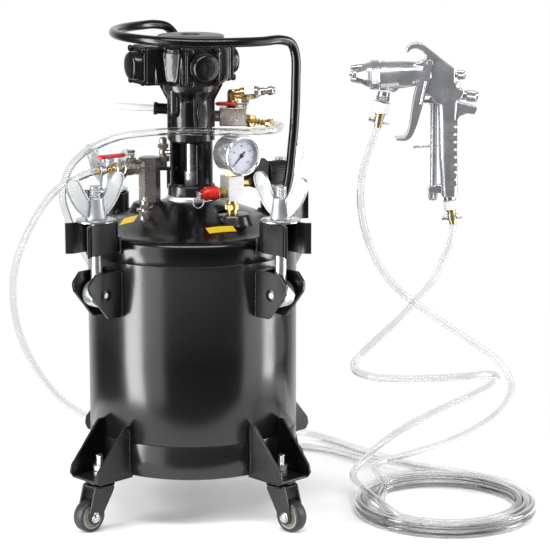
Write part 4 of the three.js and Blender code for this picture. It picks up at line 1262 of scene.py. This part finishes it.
def add_outlet():
    riser = merged(hex_along((0, 0, 371.7), (0, 0, 426), 22.5, 1.0))
    piece("riser_hex", shifted(spun(riser, 8), *RISER, 0), POT, "rusty", "pot", ["outlet_riser"])
    piece("dip_tube", shifted(rod((0, 0, 96), (0, 0, 371.6), 6), *RISER, 0), POT, "steel", "pot")
    piece("outlet_tail", along(OUTLET, OUTLET_END, [[11, 7.2], [17.6, 7.2]], 40), POT, "nickel", "pot")
    ball = [[17, 7.8], [17.6, 8.9], [22, 9], [25, 9.6], [29, 9.6], [32, 9], [37, 8.9], [38, 8]]
    piece("outlet_valve", along(OUTLET, OUTLET_END, ball, 48), POT, "rusty", "pot",
          ["outlet_valve_body"])
    for low, high, across in ((17.2, 22.5, 17.5), (31.6, 39, 17.5), (42.4, 48.6, 14.5)):
        collar = hex_along(OUTLET + DIR_OUTLET * low, OUTLET + DIR_OUTLET * high, across, 0.9)
        piece(f"outlet_hex_{round(low)}", collar, POT, "nickel", "pot")
    piece("outlet_neck", along(OUTLET, OUTLET_END, [[38, 5.6], [51, 5.6]], 40), POT, "nickel", "pot")
    tail = [[50, 5], [51.4, 5]]
    for k in range(5):
        tail += [[52 + 4.4 * k, 4.6], [52.5 + 4.4 * k, 3.0], [55.8 + 4.4 * k, 3.8]]
    piece("outlet_barb", along(OUTLET, OUTLET_END, tail, 40), POT, "brass", "pot")
    band = along(OUTLET, OUTLET_END + DIR_OUTLET * 8, [[62, 5.1], [62.4, 5.7], [69.4, 5.7], [69.8, 5.1]], 40)
    ear = OUTLET + DIR_OUTLET * 66
    screw = merged(block((-3.4, 3.4), (-2.6, 2.6), (5, 9.4)), rod((-6.5, 0, 7.4), (6.5, 0, 7.4), 2.2))
    turn = math.degrees(math.atan2(DIR_OUTLET.y, DIR_OUTLET.x))
    piece("outlet_clip", merged(band, shifted(spun(screw, turn + 90), *ear)), POT, "zinc", "pot",
          bevel=0.3)
    pivot = OUTLET + DIR_OUTLET * 25.4
    stem = merged(rod((pivot.x, pivot.y, 424), (pivot.x, pivot.y, 430.2), 3.6),
                  hex_along((pivot.x, pivot.y, 423), (pivot.x, pivot.y, 427.5), 10, 0.7))
    piece("outlet_stem", stem, POT, "nickel", "pot")
    place = turned_frame(turn, pivot.x, pivot.y)
    add_lever("outlet_handle", place, 47, 430.4, "outlet_lever", "outlet_valve_lever")
    nut = hex_along((pivot.x, pivot.y, 433), (pivot.x, pivot.y, 436.4), 8, 0.6)
    piece("outlet_handle_nut", nut, POT, "steel", "outlet_lever")


# ---- spray gun: u from nozzle to grip, w up ----
def add_gun():
    place = GUN_FRAME
    hook = [(2, 15.5), (7.5, 19), (8.5, 24), (4, 29), (-3, 32), (-9, 31), (-13, 27), (-15.5, 28),
            (-13.5, 33.5), (-8, 37.5), (-2, 39), (5, 37), (14, 30), (30, 17.5), (42.5, 8), (42.5, -10),
            (46, -14.5), (53, -16.5), (54, -20), (50, -28), (44, -30), (20, -34), (14, -24), (2, -14),
            (-8, -10), (-8, 13)]
    frame_part = slab(hook, -9.5, 9.5)
    grip = lofted([(34, -8, 16, 10), (35, -22, 14.5, 10.4), (36, -38, 12.4, 10.4),
                   (36, -56, 11.2, 10), (36, -76, 10.8, 10), (37, -98, 11, 10.2),
                   (38.4, -120, 10.6, 10), (39, -138, 10, 9.6), (39.3, -145, 9.2, 9)])
    spur = slab([(30, -28), (46, -31), (56, -33.5), (66, -36.2), (70, -37.5), (70.5, -41), (67, -46),
                 (58, -45), (50, -48), (45, -58), (36, -52)], -8, 8)
    barrel = along((-46, 0, -1.5), (20, 0, 3), [[0, 16.6], [6, 17], [30, 16], [48, 13.6], [60, 11.5]], 56)
    bulge = along((-30, 0, -4), (-38, 0, -18), [[0, 13], [10, 12], [14, 9.6]], 40)
    boss = moved(lathe([[0, -14.6], [7, -14.2], [10, -12.6], [10.6, -9], [10.6, 9], [10, 12.6],
                        [7, 14.2], [0, 14.6]], 40),
                 Matrix.Translation((-16, 0, -3)) @ Matrix.Scale(1.25, 4, (1, 0, 0))
                 @ Matrix.Rotation(math.pi / 2, 4, "X"))
    foot = slab([(34, -130), (16, -132), (13, -136), (15, -140.5), (34, -141)], -5.5, 5.5)
    parts = merged(frame_part, grip, spur, barrel, bulge, boss, foot)
    body = piece("gun_casting", parts, place, "polished", "pot", ["gun_body"])
    cast_together(body, 0.75, 6)
    rest = smooth_path([(24, 0, -84), (8, 0, -85.2), (-1, 0, -85.4), (-4.4, 0, -86.4)], 2)
    piece("gun_finger_rest", swept(rest, 1.5, 16), place, "polished", "pot")
    tube = along((19, 0, -30), (20, 0, -134), [[0, 4.2], [4, 4.2], [5, 3.9], [99, 3.9], [104, 4.2]], 28)
    piece("gun_air_tube", tube, place, "polished", "pot")
    add_grip_panels(place)

    start, end = Vector((-38, 0, -10)), Vector((-47, 0, -62))
    axis = (end - start).normalized()
    neck = [[10, 7.2], [14.6, 7.2], [15, 8.4], [16, 7.6], [17, 8.4], [18, 7.6], [19, 8.4], [20.6, 7.4]]
    piece("gun_fluid_neck", along(start, end, neck, 40), place, "steel", "pot")
    piece("gun_fluid_nut", hex_along(start + axis * 22, start + axis * 35.6, 18.5, 1.2), place,
          "aluminium", "pot")
    piece("gun_fluid_tail", along(start, end, [[35.4, 6], [39, 6], [39.4, 4.6], [53, 4.2]], 32), place,
          "brass", "pot")
    add_hose_band("gun_fluid_band", start, end, 40.5, place)
    start, end = Vector((39.2, 0, -146)), Vector((44, 0, -178))
    axis = (end - start).normalized()
    piece("gun_air_neck", along(start, end, [[-3, 6.8], [3.4, 6.8]], 40), place, "steel", "pot")
    piece("gun_air_nut", hex_along(start + axis * 3.2, start + axis * 15.2, 16, 1.4), place,
          "steel", "pot")
    piece("gun_air_tail", along(start, end, [[14.8, 5.4], [18, 5.4], [18.4, 4.6], [33, 4.2]], 32), place,
          "brass", "pot")
    add_hose_band("gun_air_band", start, end, 20, place)

    ring = [[0, 16.8], [0.5, 17.4]]
    for k in range(5):
        ring += [[1.2 + 1.7 * k, 17.9], [2 + 1.7 * k, 17.3]]
    ring += [[10, 17.2], [10.8, 15.4]]
    knurled = along((-46.2, 0, 0), (-80, 0, 0), ring, 64)
    nozzle = along((-56.6, 0, 0.5), (-90, 0, 1.5), [[0, 15.2], [3, 14.6], [8, 12.2], [12.5, 9],
                                                     [16, 7.4], [16.6, 5.2], [20, 4.6], [21, 3],
                                                     [24, 2.8], [24.4, 1.6]], 48)
    horns = [along((-60, 0, side * 8.6 + 1), (-81, 0, side * 6.6 + 1.6),
                   [[0, 4], [12, 3.6], [19, 2.8], [19.6, 1.6]], 24) for side in (-1, 1)]
    piece("gun_cap_ring", knurled, place, "polished", "air_cap", ["gun_air_cap"])
    piece("gun_nozzle", merged(nozzle, *horns), place, "polished", "air_cap")
    lines = [along((-12, 0, 0), (-80, 0, 0), [[28 + k, 17.1], [28.8 + k, 17.1]], 48)
             for k in (0, 2.4)]
    piece("gun_barrel_rings", merged(*lines), place, "polished", "pot")

    add_gun_knob("fluid", (57.6, 0, -24.5), (74, 0, -26.5), 6.8, 13.6, place)
    add_gun_knob("pattern", (46.5, 0, 0), (60, 0, 0), 5.6, 9.4, place)
    add_gun_knob("air", (19.5, 0, -140.5), (19.7, 0, -150), 5.5, 9.2, place)
    seats = [along((38, 0, 0), (50, 0, 0), [[0, 5], [5, 5], [5.2, 3], [9, 3]], 40),
             along((38, 0, -20.5), (57, 0, -24.4), [[0, 7.2], [13, 7.2], [13.6, 5.6], [19.2, 5.6]], 40),
             along((14, 0, -20), (2, 0, -18), [[0, 5.4], [4.6, 5.2], [5, 3.4], [7.4, 3.4]], 32),
             along((20, 0, -31), (2, 0, -31.5), [[0, 4.6], [6, 4.4], [6.4, 2.4], [12.6, 2.2]], 32)]
    piece("gun_knob_seats", merged(*seats), place, "polished", "pot")
    add_trigger(place)


def add_hose_band(name, start, end, distance, place):
    """A narrow band clamp with its screw."""
    axis = (Vector(end) - Vector(start)).normalized()
    band = along(start, end, [[distance, 5.2], [distance + 0.4, 6.2], [distance + 7.4, 6.2],
                              [distance + 7.8, 5.2]], 40)
    middle = Vector(start) + axis * (distance + 3.9)
    across = Vector((axis.z, 0, -axis.x))
    screw = rod(middle + across * 5 + Vector((0, -4, 0)), middle + across * 12.5 + Vector((0, -4, 0)), 2.2)
    lug = along(middle + across * 4, middle + across * 20, [[0, 3.6], [5, 3.6], [5.4, 3]], 6)
    head = hex_along(middle - across * 12 + Vector((0, -3, 0)), middle - across * 5 + Vector((0, -3, 0)),
                     6.4, 0.5)
    piece(name, merged(band, screw, lug, head), place, "nickel", "pot")


def lofted(sections, sides=28):
    """A rounded bar through sections of (u, w, half length, half width)."""
    points, faces = [], []
    for u, w, half_u, half_y in sections:
        for k in range(sides):
            turn = 2 * math.pi * k / sides
            c, s = math.cos(turn), math.sin(turn)
            points.append((u + half_u * math.copysign(abs(c) ** 0.7, c),
                           half_y * math.copysign(abs(s) ** 0.7, s), w))
    for level in range(len(sections) - 1):
        for k in range(sides):
            n = (k + 1) % sides
            faces.append([level * sides + k, level * sides + n, (level + 1) * sides + n,
                          (level + 1) * sides + k])
    last = (len(sections) - 1) * sides
    faces += [list(range(sides))[::-1], list(range(last, last + sides))]
    return points, faces


def add_grip_panels(place):
    """Raised pads down the back edge of the grip's sides."""
    bars = []
    for side in (-1, 1):
        for k in range(9):
            w = -56 - 9 * k
            low, high = sorted((side * 9.2, side * 10.8))
            bars.append(block((40, 46.8), (low, high), (w - 3.4, w + 3.4)))
    piece("gun_grip_bars", merged(*bars), place, "polished", "pot", bevel=0.7)


def add_gun_knob(kind, start, toward, radius, length, place):
    """A knurled knob on the gun."""
    around = 48
    stations = [(0, 0.8), (0.6, 1), (length * 0.75, 1), (length * 0.8, 0.86), (length * 0.97, 0.84),
                (length, 0.7)]
    axis = (Vector(toward) - Vector(start)).normalized()
    turn = axis.to_track_quat("Z", "Y").to_matrix().to_4x4()
    points, faces = [], []
    for distance, share in stations:
        for k in range(around):
            notch = 0.93 if share == 1 and k % 2 else 1
            a = 2 * math.pi * k / around
            points.append(Vector((radius * share * notch * math.cos(a),
                                  radius * share * notch * math.sin(a), distance)))
    for level in range(len(stations) - 1):
        for k in range(around):
            n = (k + 1) % around
            faces.append([level * around + k, level * around + n, (level + 1) * around + n,
                          (level + 1) * around + k])
    last = (len(stations) - 1) * around
    faces += [list(range(around))[::-1], list(range(last, last + around))]
    solid = moved((points, faces), Matrix.Translation(start) @ turn)
    piece(f"knob_{kind}", solid, place, "polished", f"{kind}_knob", [f"gun_{kind}_knob"])


def add_trigger(place):
    blade = curve_outline([(9.5, 19.5), (13, 21), (16.4, 19), (15, 8), (11.5, -10), (7, -28),
                           (2.4, -45), (-2, -60), (-7.5, -72), (-14.5, -76.6), (-24, -76.2),
                           (-25, -74.6), (-16, -73.6), (-11.6, -68), (-8.6, -56), (-6.6, -40),
                           (-3.6, -22), (1, -4), (5, 10)], 4)
    cheeks = [slab(blade, 9.9, 12), slab(blade, -12, -9.9)]
    front = [(1.4, -4), (-3.2, -22), (-6.2, -40), (-8.2, -56), (-11.2, -68), (-15.6, -73.4),
             (-24.6, -74.4), (-24.6, -76), (-14.4, -75.4), (-8.8, -69), (-5.8, -57), (-3.8, -41),
             (-0.8, -23), (3.4, -6)]
    web = slab(front, -11.9, 11.9)
    pivots = [along((12.6, side * 11.9, 15.6), (12.6, side * 30, 15.6),
                    [[0, 3.6], [1.2, 3.6], [1.5, 3], [1.6, 0]], 32) for side in (-1, 1)]
    groove = [along((8.5, side * 11.6, -6), (2.5, side * 11.6, -34), [[0, 1.4], [28, 1.4]], 12)
              for side in (-1, 1)]
    piece("gun_lever", merged(*cheeks, web, *pivots, *groove), place, "polished", "trigger",
          ["gun_trigger"], bevel=0.7, segments=2)


# ---- assembly ----
def build():
    add_studio()
    add_hoses()
    add_tank()
    add_lid()
    for corner, angle in CORNERS.items():
        add_clamp(corner, angle)
        add_leg(corner, angle)
        add_caster(corner, angle)
    add_column()
    add_shaft()
    add_motor()
    add_handle()
    add_gauge()
    add_manifold()
    add_air_supply()
    add_outlet()
    add_gun()


build()
